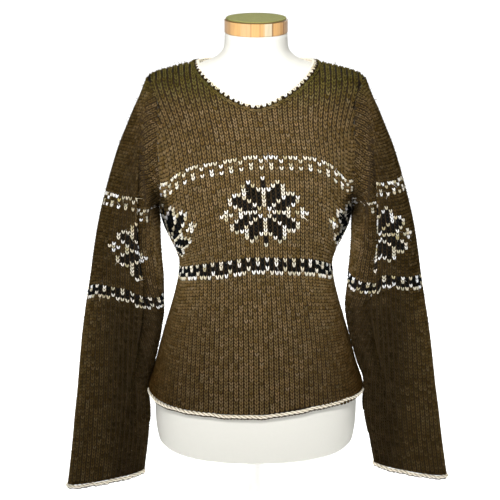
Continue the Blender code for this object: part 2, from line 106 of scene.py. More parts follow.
def table(name, fields, *rows, plain=()):
    """Rows with named columns, written in tenths of a millimetre apart from the plain ones."""
    row = namedtuple(name, fields)
    return [
        row(*(v if f in plain else v / 10000 for f, v in zip(row._fields, each, strict=True)))
        for each in rows
    ]


FORM_RINGS = table(
    "FormRing",
    "height half_width front back roundness ease",
    (1160, 1600, 1170, 1080, 2.30, 0),
    (1220, 1650, 1220, 1130, 2.30, 0),
    (1600, 1695, 1260, 1160, 2.35, 60),
    (2110, 1700, 1270, 1170, 2.40, 62),
    (2300, 1660, 1260, 1155, 2.40, 45),
    (2530, 1610, 1240, 1130, 2.40, 22),
    (2850, 1540, 1210, 1080, 2.35, 10),
    (3220, 1437, 1145, 1000, 2.30, 8),
    (3620, 1320, 1070, 905, 2.25, 8),
    (4020, 1230, 1010, 825, 2.20, 8),
    (4300, 1205, 985, 800, 2.20, 8),
    (4550, 1250, 1000, 815, 2.20, 26),
    (4770, 1335, 1030, 850, 2.20, 40),
    (4950, 1420, 1065, 890, 2.25, 36),
    (5200, 1505, 1120, 935, 2.30, 16),
    (5500, 1560, 1155, 970, 2.30, 6),
    (5800, 1600, 1175, 985, 2.30, 0),
    (6200, 1650, 1140, 965, 2.30, 0),
    (6600, 1685, 1045, 900, 2.25, 0),
    (7000, 1710, 875, 790, 2.15, 6),
    (7240, 1712, 755, 700, 2.00, 16),
    (7335, 1695, 705, 655, 1.85, 17),
    (7410, 1510, 665, 620, 1.80, 16),
    (7490, 1235, 620, 585, 1.85, 8),
    (7553, 950, 585, 555, 1.95, 0),
    (7620, 735, 545, 525, 2.00, 0),
    (7680, 630, 520, 510, 2.00, 0),
    (7750, 555, 505, 500, 2.00, 0),
    (7850, 505, 490, 490, 2.00, 0),
    (8065, 495, 495, 495, 2.00, 0),
    plain=("roundness",),
)
SLEEVE_RINGS = table(
    "SleeveRing",
    "outer_x outer_z inner_x inner_z middle_y half_depth fold_angle fold_depth",
    (1795, 7215, 1547, 5245, 0, 560, 29, 30),
    (1865, 7040, 1567, 5248, 0, 600, 50, 50),
    (1965, 6830, 1577, 5210, -10, 640, 69, 80),
    (2070, 6580, 1575, 5145, -20, 670, 84, 110),
    (2205, 6257, 1567, 5060, -30, 700, 96, 130),
    (2325, 5890, 1560, 4960, -40, 710, 105, 140),
    (2445, 5480, 1560, 4840, -50, 700, 113, 140),
    (2550, 5070, 1558, 4650, -60, 670, 118, 140),
    (2640, 4600, 1540, 4350, -80, 620, 123, 130),
    (2715, 4100, 1515, 3950, -100, 560, 127, 120),
    (2800, 3600, 1515, 3550, -120, 490, 127, 100),
    (2900, 2980, 1600, 3050, -140, 420, 125, 60),
    (2970, 2420, 1760, 2500, -160, 360, 123, 30),
    (3020, 2000, 1870, 2120, -170, 320, 121, 20),
    (3090, 1500, 1850, 1680, -180, 280, 119, 10),
    (3160, 950, 1900, 1200, -200, 240, 119, 0),
    (3270, 220, 1970, 600, -220, 190, 119, 0),
    plain=("fold_angle",),
)
SLEEVE_ROUNDNESS = 2.15
FOLD_WIDTH = 0.009
BACK_FOLD_SHARE = 0.55
SWING_START = 0.36
SWING = {LEFT: -0.005, RIGHT: 0.005}
Lift = namedtuple("Lift", "outer inner narrow")
CUFF_LIFT = {LEFT: Lift(0.013, 0.003, 0.0), RIGHT: Lift(0.031, 0.017, 0.004)}
CLOSER = {
    LEFT: ((11, 12, 13, 14, 16, 17), (0.0, 0.0020, 0.0052, 0.0052, 0.0060, 0.0045)),
    RIGHT: (range(10, 18), (0, 0.0043, 0.0073, 0.0095, 0.009, 0.0085, 0.005, 0.001)),
}  # by ring, how much nearer the body the inner side of a lower sleeve lies
CUFF_LIFT_START = 8  # the ring above which a sleeve's length is the same on both hands

# How the body's knit hangs, by the distance down from the shoulder: the stitches' width, how far
# the columns drift to the right, and how far a row sinks at places counted in stitches
HANG_PLACES = (-20, -14, -8, 0, 8, 14, 20)
HANG = table(
    "Hang",
    "down pitch drift l20 l14 l8 middle r8 r14 r20",
    (0, 88, -118, 0, 0, 0, 0, 0, 0, 0),
    (370, 84, -70, 120, 60, 30, 0, 30, 40, 60),
    (630, 80, -30, 250, 140, 70, 0, 60, 110, 180),
    (910, 78, 20, 360, 210, 110, 0, 50, 130, 240),
    (1230, 78, 65, 430, 220, 120, 10, 30, 110, 380),
    (1650, 77, 105, 500, 260, 120, 10, 30, 110, 370),
    (2100, 75, 134, 560, 300, 110, 0, 20, 110, 330),
    (2600, 74, 160, 420, 250, 110, 0, 30, 120, 300),
    (3130, 74, 183, 280, 200, 120, 0, 50, 140, 260),
    (3530, 76, 205, 240, 150, 90, 10, 20, 90, 170),
    (4050, 79, 230, 150, 110, 80, 20, 10, 70, 120),
    (4500, 81, 245, 60, 50, 30, 10, 0, 10, 30),
    (5443, 83, 260, 0, 0, 0, 0, 0, 0, 0),
)
ROWS = table(
    "Row",
    "row down",
    (28, 1200),
    (31.5, 1390),
    (34.5, 1545),
    (43.5, 2099),
    (52.5, 2635),
    (56.5, 2900),
    (60, 3170),
    (101, 5443),
    plain=("row",),
)

# Heights of the sleeves' bands round a sleeve, from the outermost line, 0, to the innermost, 1
SLEEVE_BANDS = table(
    "Band",
    "around left_upper left_lower right_upper right_lower",
    (0.00, 5494, 3640, 5786, 3880),
    (0.25, 5580, 3820, 5800, 3940),
    (0.46, 5560, 3780, 5800, 4030),
    (0.54, 5310, 3670, 5450, 3840),
    (0.75, 5346, 3580, 5470, 3850),
    (1.00, 5380, 3540, 5490, 3920),
    plain=("around",),
)
SLEEVE_STAR = {LEFT: 17, RIGHT: 14}  # the column that a sleeve's star is centred on
FOLD_TURN = {LEFT: 6, RIGHT: 0}  # degrees further round to the inner side
FOLD_DEEPEN = 1.5  # the knit's fold is deeper and narrower than the solid's
FOLD_NARROW = 0.62
FOLD_OVERHANG = 0.6
FOLD_TUCK = 3.2  # cloth that the fold swallows, in times its depth

# Charts. C is cream, K black and a dot the ground. Bands repeat every four stitches.
BAND = (".CCC", "C...", "..C.", "C.C.")
STAR = (
    "C.........",
    "K..C......",
    "K.CKC.....",
    "CCKKC.....",
    "CKKKCCC...",
    "CKKKCKKC..",
    "CKKCKKKC..",
    "CKCKKKC...",
    ".CKKKC..C.",
    "..CCCC.CCC",
)  # a quarter: from the star's tip down to its middle, and from its middle out
STAR_TOP_ROW = 6
STAR_SPACING = 24
SLEEVE_STAR_SPACING = 33

# The neck cap's staves, by the angle at which each ends, counted from the front to the right
WOODS = {
    "honey": (0.56, 0.32, 0.120),
    "amber": (0.48, 0.26, 0.090),
    "tan": (0.44, 0.26, 0.115),
    "rose": (0.56, 0.345, 0.165),
    "pale": (0.54, 0.455, 0.31),
    "faint": (0.45, 0.245, 0.095),
    "dark": (0.25, 0.12, 0.037),
    "top_band": (0.16, 0.095, 0.025),
}
SEAM_WIDTH = 2.4  # degrees
STAVES = (
    (-150, "honey", "faint"),
    (-122, "rose", "dark"),
    (-90, "amber", "faint"),
    (-54, "tan", "faint"),
    (-28, "honey", "rose"),
    (-9, "rose", "faint"),
    (8, "honey", "faint"),
    (15, "honey", "rose"),
    (31, "pale", "dark"),
    (50, "honey", "amber"),
    (60, "amber", "dark"),
    (96, "tan", "faint"),
    (124, "honey", "faint"),
    (152, "rose", "dark"),
    (180, "honey", "faint"),
)  # where each ends, its wood and the wood of the seam there

YARNS = {
    "brown": (0.184, 0.123, 0.050),
    "dark": (0.042, 0.027, 0.011),
    # tan goes only into the cords' grooves, as painted shade
    "tan": (0.40, 0.33, 0.23),
    "cream": (0.84, 0.775, 0.64),
    "black": (0.006, 0.0068, 0.0068),
}
COLOUR_SPREAD = 0.18  # how far a stitch is lighter or darker than its yarn
SLEEVE_SPREAD = 1.4
# painted shade: how much darker the ground is painted towards the body's sides
SIDE_SHADE = np.array([0.34, 0.37, 0.42])
# painted shade on the sleeves' ground: the upper sleeve's, then the lower sleeve's
SLEEVE_PAINTED_SHADE = np.array([0.48, 0.475, 0.40])
LOW_SLEEVE_PAINTED_SHADE = np.array([0.75, 0.76, 0.65])
# painted shadow of the body on the inner side of the lower sleeves
INNER_SLEEVE_SHADE = 0.62
# painted shade: the ground darker and more olive on the shoulders
SHOULDER_PAINTED_SHADE = np.array([0.66, 0.80, 0.50])
Nook = namedtuple("Nook", "width low high shade")
NOOK = Nook(0.019, 0.468, 0.580, 0.74)  # the shadow between the body and the sleeve
DEEP_SHADE = 0.10  # painted shade: how light the yarn is painted in the depths of a stitch, against its top
STITCH_WANDER = 0.035  # how far a stitch strays from its place, in its own width or height

# Edgings
NECK_PITCH = 0.0092  # between the neck's picked-up stitches
CORD_STEPS = 9  # points in one twist
PLY_SHARE = 0.86  # a ply's own radius, against its distance from the cord's middle
EDGE_OUT = 0.0006  # how far the cords of hem and cuffs stand out
CORD_YARNS = (("cream", "cream", 0.35), ("brown", "dark", 0.6), ("tan", "tan", 0.6))
Cord = namedtuple("Cord", "part up out turn ply yarn phase")
NECK_CORDS = (
    Cord("roll", 0.0048, 0.0002, 0.0130, 0.0011, "cream", 0.0),
    Cord("facing", 0.0030, -0.0022, 0.0160, 0.0012, "cream", 0.0),
)  # up is the way into the neck's opening
EDGE_CORDS = (
    Cord("cord", 0.0, 0.0, 0.0170, 0.0016, "cream", 0.0),
    # painted shade: a thinner pair of tan plies laid in the grooves of the cream cord, so its
    # grooves read darker
    Cord("groove", 0.0, 0.0, 0.0170, 0.0011, "tan", math.pi / 2),
    Cord("under", -0.0042, -0.0012, 0.0110, 0.0008, "dark", 0.0),
)
LEAN = 1.1  # how far a hair of the fuzz leans over, in radians

# The pieces of cloth: a word for each, its side or hand, and the node of the model that it stands
# for
CLOTHS = (
    ("front", FRONT, "sweater_front"),
    ("back", BACK, "sweater_back"),
    ("sleeve_left", LEFT, "sleeve_left"),
    ("sleeve_right", RIGHT, "sleeve_right"),
)
Cut = namedtuple("Cut", "width length area")

# Light and camera
SKY = 0.20
SoftBox = namedtuple("SoftBox", "name place aim size spread power")
SOFT_BOXES = (
    SoftBox("front_box", (-0.15, -1.35, 1.45), (0, -0.1, 0.60), 0.30, 34, 1.9),
    SoftBox("fill_box", (-0.55, -1.9, 1.70), (0, 0, 0.45), 0.9, 120, 6.0),
    SoftBox("back_box", (0.35, 1.70, 1.60), (0, 0, 0.45), 1.0, 120, 14.0),
    SoftBox("floor_box", (0.0, 2.8, 3.4), (0, 2.8, 0), 9.0, 80, 275.0),
)
CAMERA_PLACE, CAMERA_PITCH = (-0.0096, -2.45, 1.214), 17.39  # degrees downwards
FOCAL_PIXELS, PICTURE_PIXELS, SENSOR = 1560.0, 500, 36.0


# ---- tables and curves ----


def curves(rows):
    """Smooth curves through the columns of a table, read by its first column."""
    first, *others = zip(*sorted(rows), strict=True)
    return {f: smooth_curve(first, v) for f, v in zip(rows[0]._fields[1:], others, strict=True)}


def smooth_curve(x, y):
    x, y = np.array(x, float), np.array(y, float)
    slope = np.diff(y) / np.diff(x)
    tangent = np.concatenate([slope[:1], np.zeros(len(x) - 2), slope[-1:]])
    product, total = slope[:-1] * slope[1:], slope[:-1] + slope[1:]
    same_way = product > 0
    tangent[1:-1][same_way] = 2 * product[same_way] / total[same_way]

    def read(at):
        at = np.clip(at, x[0], x[-1])
        i = np.clip(np.searchsorted(x, at) - 1, 0, len(x) - 2)
        width = x[i + 1] - x[i]
        t = (at - x[i]) / width
        return (
            (1 + 2 * t) * (1 - t) ** 2 * y[i]
            + t * (1 - t) ** 2 * width * tangent[i]
            + t * t * (3 - 2 * t) * y[i + 1]
            + t * t * (t - 1) * width * tangent[i + 1]
        )

    return read


def smooth_step(t):
    t = np.clip(t, 0, 1)
    return t * t * (3 - 2 * t)


def unit(vectors):
    return vectors / np.maximum(np.linalg.norm(vectors, axis=-1, keepdims=True), 1e-12)


def length_along(points):
    """Lengths from the first of a line of points to each of them."""
    steps = np.linalg.norm(np.diff(points, axis=0), axis=1)
    return np.concatenate([[0], np.cumsum(steps)])


def slope_of(read, at):
    return (read(at + SMALL) - read(at - SMALL)) / (2 * SMALL)


def between(at, x, points):
    """Points read between those of a line, which lie at x."""
    return np.stack([np.interp(at, x, points[:, k]) for k in range(3)], axis=-1)


def loop_of(half):
    """Closed loops from the arrays of half(FRONT) and, the other way, those of half(BACK)."""
    sides = zip(half(FRONT), half(BACK), strict=True)
    return [np.concatenate([front, back[-2:0:-1]]) for front, back in sides]


form_half_width, form_front, form_back, form_roundness, cloth_ease = curves(FORM_RINGS).values()
HANGS, BANDS = curves(HANG), curves(SLEEVE_BANDS)
(down_of_row,) = curves(ROWS).values()
SLEEVE = {
    field: smooth_curve(range(1, len(SLEEVE_RINGS) + 1), values)
    for field, values in zip(SLEEVE_RINGS[0]._fields, zip(*SLEEVE_RINGS, strict=True), strict=True)
}


# ---- the form's surface and the cloth on it ----


def form_depth(side, height):
    return form_front(height) if side == FRONT else form_back(height)


def on_form(side, angle, height):
    """Points and outward normals on the form. The angle is 0 at +X and half a turn at -X."""
    a, b, n = form_half_width(height), form_depth(side, height), form_roundness(height)
    c, s = np.cos(angle), np.sin(angle)
    x = a * np.sign(c) * np.abs(c) ** (2 / n)
    y = side * b * np.abs(s) ** (2 / n)
    across, along = np.abs(x / a), np.abs(y / b)
    rise = across**n * slope_of(form_half_width, height) / a
    rise = rise + along**n * slope_of(lambda z: form_depth(side, z), height) / b
    normal = np.sign(x) * across ** (n - 1) / a, side * along ** (n - 1) / b, -rise
    return np.stack([x, y, height + 0 * x], axis=-1), unit(np.stack(normal, axis=-1))


def angle_at(x, height):
    """The angle on the form's ring whose point lies at x."""
    share = np.clip(np.abs(x) / form_half_width(height), 0, 1)
    return np.arccos(share ** (form_roundness(height) / 2))


def neck_drop(side, x):
    """How far the neck's edge lies below its corner, at x."""
    across = np.clip(np.abs(x) / NECK_HALF_WIDTH, 0, 1)
    if side == FRONT:
        return V_NECK_DEPTH * (1 - across**V_NECK_POWER)
    return BACK_NECK_DEPTH * (1 - across**BACK_NECK_POWER)


def neckline(side, samples=361):
    """Half of the neck's edge: shares of its length, places across and drops."""
    across = np.linspace(0, 1, samples)
    x = across * NECK_HALF_WIDTH
    drop = neck_drop(side, x)
    points, _ = on_form(side, angle_at(x, NECK_HEIGHT - drop), NECK_HEIGHT - drop)
    length = length_along(points)
    return length / length[-1], across, drop


NECKLINES = {FRONT: neckline(FRONT), BACK: neckline(BACK)}
SHOULDER_HEIGHTS = np.linspace(NECK_HEIGHT, SHOULDER_TIP_HEIGHT, 64)
SHOULDER_WIDTHS = form_half_width(SHOULDER_HEIGHTS)


def top_drop(side, across):
    """How far the top of a panel's edge lies below the neck's corner or the shoulder line."""
    share, _, drop = NECKLINES[side]
    at = np.abs(across) / NECK_SHARE
    return np.where(at < 1, np.interp(at, share, drop), 0)


def shoulder_slope(x):
    """How far the shoulder line has fallen below the neck's corner, at x."""
    height = np.interp(np.abs(x), SHOULDER_WIDTHS, SHOULDER_HEIGHTS)
    return np.where(np.abs(x) > NECK_HALF_WIDTH, NECK_HEIGHT - height, 0)


def hem_lift(side, across, down):
    """How far the hem rides up on the right of the front."""
    if side == BACK:
        return 0.0
    lift = HEM_LIFT_RIGHT * np.sin(np.pi * np.clip(across, 0, 1)) ** 2
    return lift * smooth_step((down - HEM_LIFT_START) / (BODY_DROP - HEM_LIFT_START))


def row_height(side, across, down):
    slope = shoulder_slope(across * SHOULDER_HALF_WIDTH) * (1 - down / BODY_DROP)
    return NECK_HEIGHT - down - slope + hem_lift(side, across, down)


ARMHOLE_TOP = float(row_height(BACK, 1.0, 0.0))
ARMHOLE_LOW = float(row_height(BACK, 1.0, UNDERARM_DROP))


def armhole_angle(side, height):
    """The angle on the form's ring at which the body's cloth ends."""
    part = np.abs((2 * height - ARMHOLE_TOP - ARMHOLE_LOW) / (ARMHOLE_TOP - ARMHOLE_LOW))
    depth = (1 - np.clip(part, 0, 1) ** ARMHOLE_POWER) ** (1 / ARMHOLE_POWER)
    share = np.clip(ARMHOLE_HALF_DEPTH * depth / form_depth(side, height), 0, 1)
    return np.arcsin(share ** (form_roundness(height) / 2))


def lifted(side, angle, height, depth=0.0):
    """Points of the cloth over places on the form: depth is measured in from the knit's face."""
    points, normals = on_form(side, angle, height)
    off = CLEARANCE + WALL + cloth_ease(height) - depth
    return points + normals * np.reshape(off, (-1, 1)), normals


# ---- how the body's columns and rows hang ----


def lookup(table, row_axis, column_axis, row, column):
    """Reads a table of numbers between its rows and columns."""
    h = np.interp(row, row_axis, np.arange(len(row_axis)))
    d = np.interp(column, column_axis, np.arange(len(column_axis)))
    i = np.minimum(h.astype(int), len(row_axis) - 2)
    j = np.minimum(d.astype(int), len(column_axis) - 2)
    p, q = h - i, d - j
    low = table[i, j] * (1 - q) + table[i, j + 1] * q
    high = table[i + 1, j] * (1 - q) + table[i + 1, j + 1] * q
    return low * (1 - p) + high * p


RULER_HEIGHTS = np.linspace(HEM_HEIGHT - 0.01, NECK_HEIGHT, 220)
RULER_DISTANCES = np.linspace(0, 0.32, 129)


def ruler(side):
    """Angles on the form at distances along the cloth from its middle line, and its length there
    from the middle to the side."""
    angles = np.linspace(np.pi / 2, 0, 129)
    lengths = [length_along(lifted(side, angles, np.full(129, z))[0]) for z in RULER_HEIGHTS]
    table = [np.interp(RULER_DISTANCES, length, angles) for length in lengths]
    return np.array(table), np.array([length[-1] for length in lengths])


RULERS = {side: ruler(side) for side in (FRONT, BACK)}
SINK_DOWNS = np.linspace(0, BODY_DROP, 120)
SINK_PLACES = np.linspace(HANG_PLACES[0], HANG_PLACES[-1], 81)
SINKS = np.array(
    [
        smooth_curve(HANG_PLACES, knots)(SINK_PLACES)
        for knots in np.array([HANGS[field](SINK_DOWNS) for field in list(HANGS)[2:]]).T
    ]
)


def hang(side, column, down):
    """Angles and heights on the form for places in the knit, and how far inside the edges of the
    panel they are."""
    pitch = HANGS["pitch"](down)
    arc = column * pitch + (1 if side == FRONT else -1) * HANGS["drift"](down)
    sink = lookup(SINKS, SINK_DOWNS, SINK_PLACES, down, arc / pitch)
    slope = shoulder_slope(arc) * (1 - down / BODY_DROP)
    across = np.clip(arc / SHOULDER_HALF_WIDTH, -1, 1)
    height = NECK_HEIGHT - down - slope - sink + hem_lift(side, across, down)
    angles, reach = RULERS[side]
    even = lookup(angles, RULER_HEIGHTS, RULER_DISTANCES, height, np.abs(arc))
    even_x = on_form(side, even, height)[0][:, 0]
    blend = smooth_step(down / GRAIN_BLEND)
    x = np.abs(arc) * (1 - blend) + even_x * blend
    angle = np.where(blend >= 1, even, angle_at(x, height))
    inside = np.where(
        x < NECK_HALF_WIDTH, NECK_HEIGHT - neck_drop(side, x) - height, SHOULDER_HALF_WIDTH - x
    )
    inside = np.where(down > GRAIN_BLEND, np.where(x < NECK_HALF_WIDTH, inside, 1.0), inside)
    beside = (angle - armhole_angle(side, height)) * form_half_width(height) + SEAM_OVERLAP
    inside = np.where(height > ARMHOLE_LOW, np.minimum(inside, beside), inside)
    past = np.interp(height, RULER_HEIGHTS, reach) - np.abs(arc) + SEAM_OVERLAP / 2
    inside = np.where(height <= ARMHOLE_LOW, np.minimum(inside, past), inside)
    return np.where(arc < 0, np.pi - angle, angle), height, inside


def hang_points(side, column, down):
    """Points of the knit's middle layer, and how far inside the panel's edges they are."""
    angle, height, inside = hang(side, column.ravel(), down.ravel())
    points, _ = lifted(side, angle, height, STITCH_DEPTH)
    return points.reshape(*column.shape, 3), inside.reshape(column.shape)


def body_downs(side, columns):
    """How far down each row lies in each column: evenly spaced along the cloth from the shoulder
    to the upper band, and level below."""
    top = np.linspace(0, ROWS[0].down, 141)
    path, _ = hang_points(side, *np.meshgrid(columns, top))
    share = np.linspace(0, 1, SHOULDER_ROWS + 1)
    lengths = [length_along(line) for line in np.moveaxis(path, 1, 0)]
    upper = np.stack([np.interp(share * each[-1], each, top) for each in lengths], axis=1)
    rows = np.arange(SHOULDER_ROWS + 1, SHOULDER_ROWS + CHART_ROWS + SKIRT_ROWS + 1)
    lower = np.repeat(down_of_row(rows)[:, None], len(columns), axis=1)
    return np.concatenate([upper, lower])


def lattice_cells(points):
    """Stitch cells between the corners of a lattice: middles, steps across and steps up."""
    left = (points[:-1, :-1] + points[1:, :-1]) / 2
    right = (points[:-1, 1:] + points[1:, 1:]) / 2
    upper = (points[:-1, :-1] + points[:-1, 1:]) / 2
    lower = (points[1:, :-1] + points[1:, 1:]) / 2
    return (left + right) / 2, right - left, upper - lower


def knit_body(side):
    """The stitches of the front or the back."""
    columns = np.arange(-HALF_COLUMNS, HALF_COLUMNS + 2) - 0.5
    downs = body_downs(side, columns)
    column = np.broadcast_to(columns, downs.shape)
    points, _ = hang_points(side, column, downs)
    middle_down = (downs[:-1, :-1] + downs[1:, 1:]) / 2
    _, inside = hang_points(side, column[:-1, :-1] + 0.5, middle_down)
    middle, across, up = lattice_cells(points)
    kept = inside > EDGE_MARGIN
    names = charted(columns, len(downs) - 1, SHOULDER_ROWS, 0)
    turn = 1 if side == FRONT else -1
    return middle[kept], turn * across[kept], up[kept], names[kept]


def charted(columns, rows, first, star, spacing=STAR_SPACING):
    """The yarns of a lattice's stitches, where the upper band starts at the row called first."""
    columns, rows = [int(c) for c in columns[:-1] + 0.5], range(-first, rows - first)
    return np.array([[chart(column, row, star, spacing) for column in columns] for row in rows])


def chart(column, row, star, spacing):
    """The yarn of a stitch, by its column and its row below the upper band's top."""
    if not 0 <= row < CHART_ROWS:
        return "brown"
    upper = row < len(BAND)
    lower = CHART_ROWS - 1 - row
    if upper or lower < len(BAND):
        mark = BAND[row if upper else lower][(column - star) % 4]
        if mark == "C":
            return "cream"
        return "brown" if upper or lower == 0 else "black"
    away = (column - star + spacing // 2) % spacing - spacing // 2
    step = row - STAR_TOP_ROW
    step = min(step, 2 * (len(STAR) - 1) - step)
    if step < 0 or abs(away) >= len(STAR[0]):
        return "brown"
    return {"C": "cream", "K": "black", ".": "brown"}[STAR[step][abs(away)]]


# ---- the sleeves' surface ----


def armhole_loop(samples):
    """The armhole of the right side, evenly spaced from the shoulder by way of the front."""
    height = row_height(BACK, 1.0, np.linspace(0, UNDERARM_DROP, 241))
    edges = {s: lifted(s, armhole_angle(s, height), height)[0] for s in (FRONT, BACK)}
    length = length_along(edges[FRONT])
    at = np.linspace(0, 1, samples // 2 + 1) * length[-1]
    return loop_of(lambda side: [between(at, length, edges[side])])[0]


def fold(share, fold_share, perimeter, width):
    away = (share - fold_share + 0.5) % 1 - 0.5
    return np.exp(-((away * perimeter / width) ** 2) / 2)


def sleeve_ring(hand, number, samples):
    """One ring of a sleeve's face, evenly spaced: outermost point first, then the front."""
    ring = {field: float(read(number)) for field, read in SLEEVE.items()}
    lift = CUFF_LIFT[hand]
    share = max(number - CUFF_LIFT_START, 0) / (len(SLEEVE_RINGS) - CUFF_LIFT_START)
    far = ring["outer_x"] - lift.narrow * share
    near = ring["inner_x"] - np.interp(number, *CLOSER[hand])
    top = np.array([far, 0, ring["outer_z"] + lift.outer * share])
    low = np.array([near, 0, ring["inner_z"] + lift.inner * share])
    middle, reach = (top + low) / 2, (top - low) / 2
    middle[1] = ring["middle_y"]
    forward = np.array([0, -ring["half_depth"], 0])
    angle = np.linspace(0, 2 * np.pi, 361)
    c, s = np.cos(angle), np.sin(angle)
    power = 2 / SLEEVE_ROUNDNESS
    points = middle + np.outer(np.sign(c) * np.abs(c) ** power, reach)
    points += np.outer(np.sign(s) * np.abs(s) ** power, forward)
    length = length_along(points)
    fold_at = np.radians(ring["fold_angle"] + FOLD_TURN[hand])
    fold_share = np.interp(fold_at, angle, length) / length[-1]
    share = np.linspace(0, 1, samples, endpoint=False)
    at = np.interp(share * length[-1], length, angle)
    even = between(at, angle, points)
    deep = fold(share, fold_share, length[-1], FOLD_WIDTH * FOLD_NARROW)
    deep += BACK_FOLD_SHARE * fold(share, 1 - fold_share, length[-1], FOLD_WIDTH)
    outwards = (top - low) / np.linalg.norm(top - low)
    inwards = unit(middle - even) + FOLD_OVERHANG * outwards
    even += inwards * (deep * ring["fold_depth"] * FOLD_DEEPEN)[:, None]
    lower = np.clip((SWING_START - even[:, 2]) / SWING_START, 0, 1)
    even[:, 0] = hand * even[:, 0] + hand * SWING[hand] * lower
    return even, fold_share, ring["fold_depth"]


def tube_normals(rings):
    around = np.roll(rings, -1, axis=1) - np.roll(rings, 1, axis=1)
    along = np.gradient(rings, axis=0)
    normals = unit(np.cross(around, along))
    outward = rings - rings.mean(axis=1, keepdims=True)
    return normals * np.sign((normals * outward).sum())


def sleeve_rings(hand, samples, steps_per_ring):
    """A sleeve's face as rings, from the armhole to the cuff, with each ring's place and depth of
    fold."""
    first = armhole_loop(samples) * np.array([hand, 1, 1])
    numbers = np.linspace(1, len(SLEEVE_RINGS), (len(SLEEVE_RINGS) - 1) * steps_per_ring + 1)
    rings, shares, depths = zip(*[sleeve_ring(hand, n, samples) for n in numbers], strict=True)
    steps = np.arange(steps_per_ring) / steps_per_ring
    rings = [first * (1 - t) + rings[0] * t for t in steps] + list(rings)
    shares = [shares[0]] * steps_per_ring + list(shares)
    return np.array(rings), shares, [*np.linspace(0, depths[0], steps_per_ring), *depths]


def knit_sleeve(hand):
    """The stitches of a sleeve. Columns are counted from the outermost line, forwards."""
    word = "left" if hand == LEFT else "right"
    face, shares, depths = sleeve_rings(hand, 480, 8)
    rings = face - STITCH_DEPTH * tube_normals(face)
    columns = np.arange(SLEEVE_COLUMNS[0], SLEEVE_COLUMNS[1] + 2) - 0.5
    lines = np.empty((len(rings), len(columns), 3))
    around = np.empty((len(rings), len(columns)))
    for i, ring in enumerate(np.concatenate([rings, rings[:, :1]], axis=1)):
        length = length_along(ring)
        half = rings.shape[1] // 2
        crease = np.interp(shares[i] * rings.shape[1], np.arange(len(length)), length)
        tuck = depths[i] * FOLD_TUCK
        distance = columns * SLEEVE_PITCH
        distance = np.where(distance > crease, np.maximum(distance - tuck, crease), distance)
        lines[i] = between(distance % length[-1], length, ring)
        front, back = length[half], length[-1] - length[half]
        around[i] = np.where(distance < 0, -distance / back, distance / front)
    top, low = CHART_ROWS + SLEEVE_CAP_ROWS, -CUFF_ROWS
    rows = np.arange(top, low - 1, -1.0)
    points = np.empty((len(rows), len(columns), 3))
    inside = np.empty((len(rows), len(columns)))
    for j in range(len(columns)):
        line = lines[:, j]
        length = length_along(line)
        share = np.clip(around[:, j], 0, 1)
        at_upper = crossing(length, line[:, 2] - BANDS[word + "_upper"](share))
        at_lower = crossing(length, line[:, 2] - BANDS[word + "_lower"](share))
        at = np.interp(-rows, (-CHART_ROWS, 0, CUFF_ROWS), (at_upper, at_lower, length[-1]))
        above = rows > CHART_ROWS
        at[above] = at_upper - (rows[above] - CHART_ROWS) * SLEEVE_ROW
        points[:, j] = between(at, length, line)
        before = np.interp(at, length, around[:, j])
        inside[:, j] = np.minimum(at, (1 - before) * HALF_GIRTH)
    middle, across, up = lattice_cells(points)
    centre = (inside[:-1, :-1] + inside[1:, 1:]) / 2
    wide = np.linalg.norm(across, axis=2) > NARROWEST * SLEEVE_PITCH
    tall = np.linalg.norm(up, axis=2) > SHORTEST * SLEEVE_ROW
    kept = (centre > 0.0) & wide & tall
    star = SLEEVE_STAR[hand], SLEEVE_STAR_SPACING
    names = charted(columns, top - low, SLEEVE_CAP_ROWS, *star)
    return middle[kept], -hand * across[kept], up[kept], names[kept]


def crossing(length, above):
    """The length at which a line first passes below a level."""
    below = np.nonzero(above <= 0)[0]
    i = max(int(below[0]), 1) if len(below) else len(length) - 1
    share = above[i - 1] / max(above[i - 1] - above[i], 1e-9)
    return length[i - 1] + np.clip(share, 0, 1) * (length[i] - length[i - 1])


# ---- meshes ----


def new_object(name, mesh):
    piece = bpy.data.objects.new(name, mesh)
    bpy.context.scene.collection.objects.link(piece)
    return piece


def solid_mesh(name, points, faces, triangles=False):
    """A mesh whose faces all look outwards."""
    mesh = bpy.data.meshes.new(name)
    mesh.from_pydata([tuple(p) for p in np.reshape(points, (-1, 3))], [], faces)
    body = bmesh.new()
    body.from_mesh(mesh)
    if triangles:
        bmesh.ops.triangulate(body, faces=body.faces)
    bmesh.ops.recalc_face_normals(body, faces=body.faces)
    if body.calc_volume(signed=True) < 0:
        bmesh.ops.reverse_faces(body, faces=body.faces)
    body.to_mesh(mesh)
    body.free()
    mesh.shade_smooth()
    return mesh


def mesh_object(name, points, faces, material):
    mesh = solid_mesh(name, points, faces)
    mesh.materials.append(material)
    return new_object(name, mesh)


def grid_faces(index, closed):
    """Quads between the points of a grid of numbers, whose columns may go all round."""
    if closed:
        index = np.concatenate([index, index[:, :1]], axis=1)
    corners = index[:-1, :-1], index[:-1, 1:], index[1:, 1:], index[1:, :-1]
    return np.stack(corners, axis=-1).reshape(-1, 4).tolist()


def wall_object(name, outer, inner, material, closed=False):
    """A wall between two grids of points, closed along its border. A tube's columns go round."""
    index = np.arange(outer[..., 0].size).reshape(outer.shape[:2])
    borders = [np.concatenate([index[0], index[1:, -1], index[-1, -2::-1], index[-2:0:-1, 0]])]
    if closed:
        borders = [index[0], index[-1]]
    faces = grid_faces(index, closed) + grid_faces(index + index.size, closed)
    for here in borders:
        there = np.roll(here, -1)
        sides = here, there, there + index.size, here + index.size
        faces += np.stack(sides, axis=1).tolist()
    points = np.concatenate([outer.reshape(-1, 3), inner.reshape(-1, 3)])
    return mesh_object(name, points, faces, material)


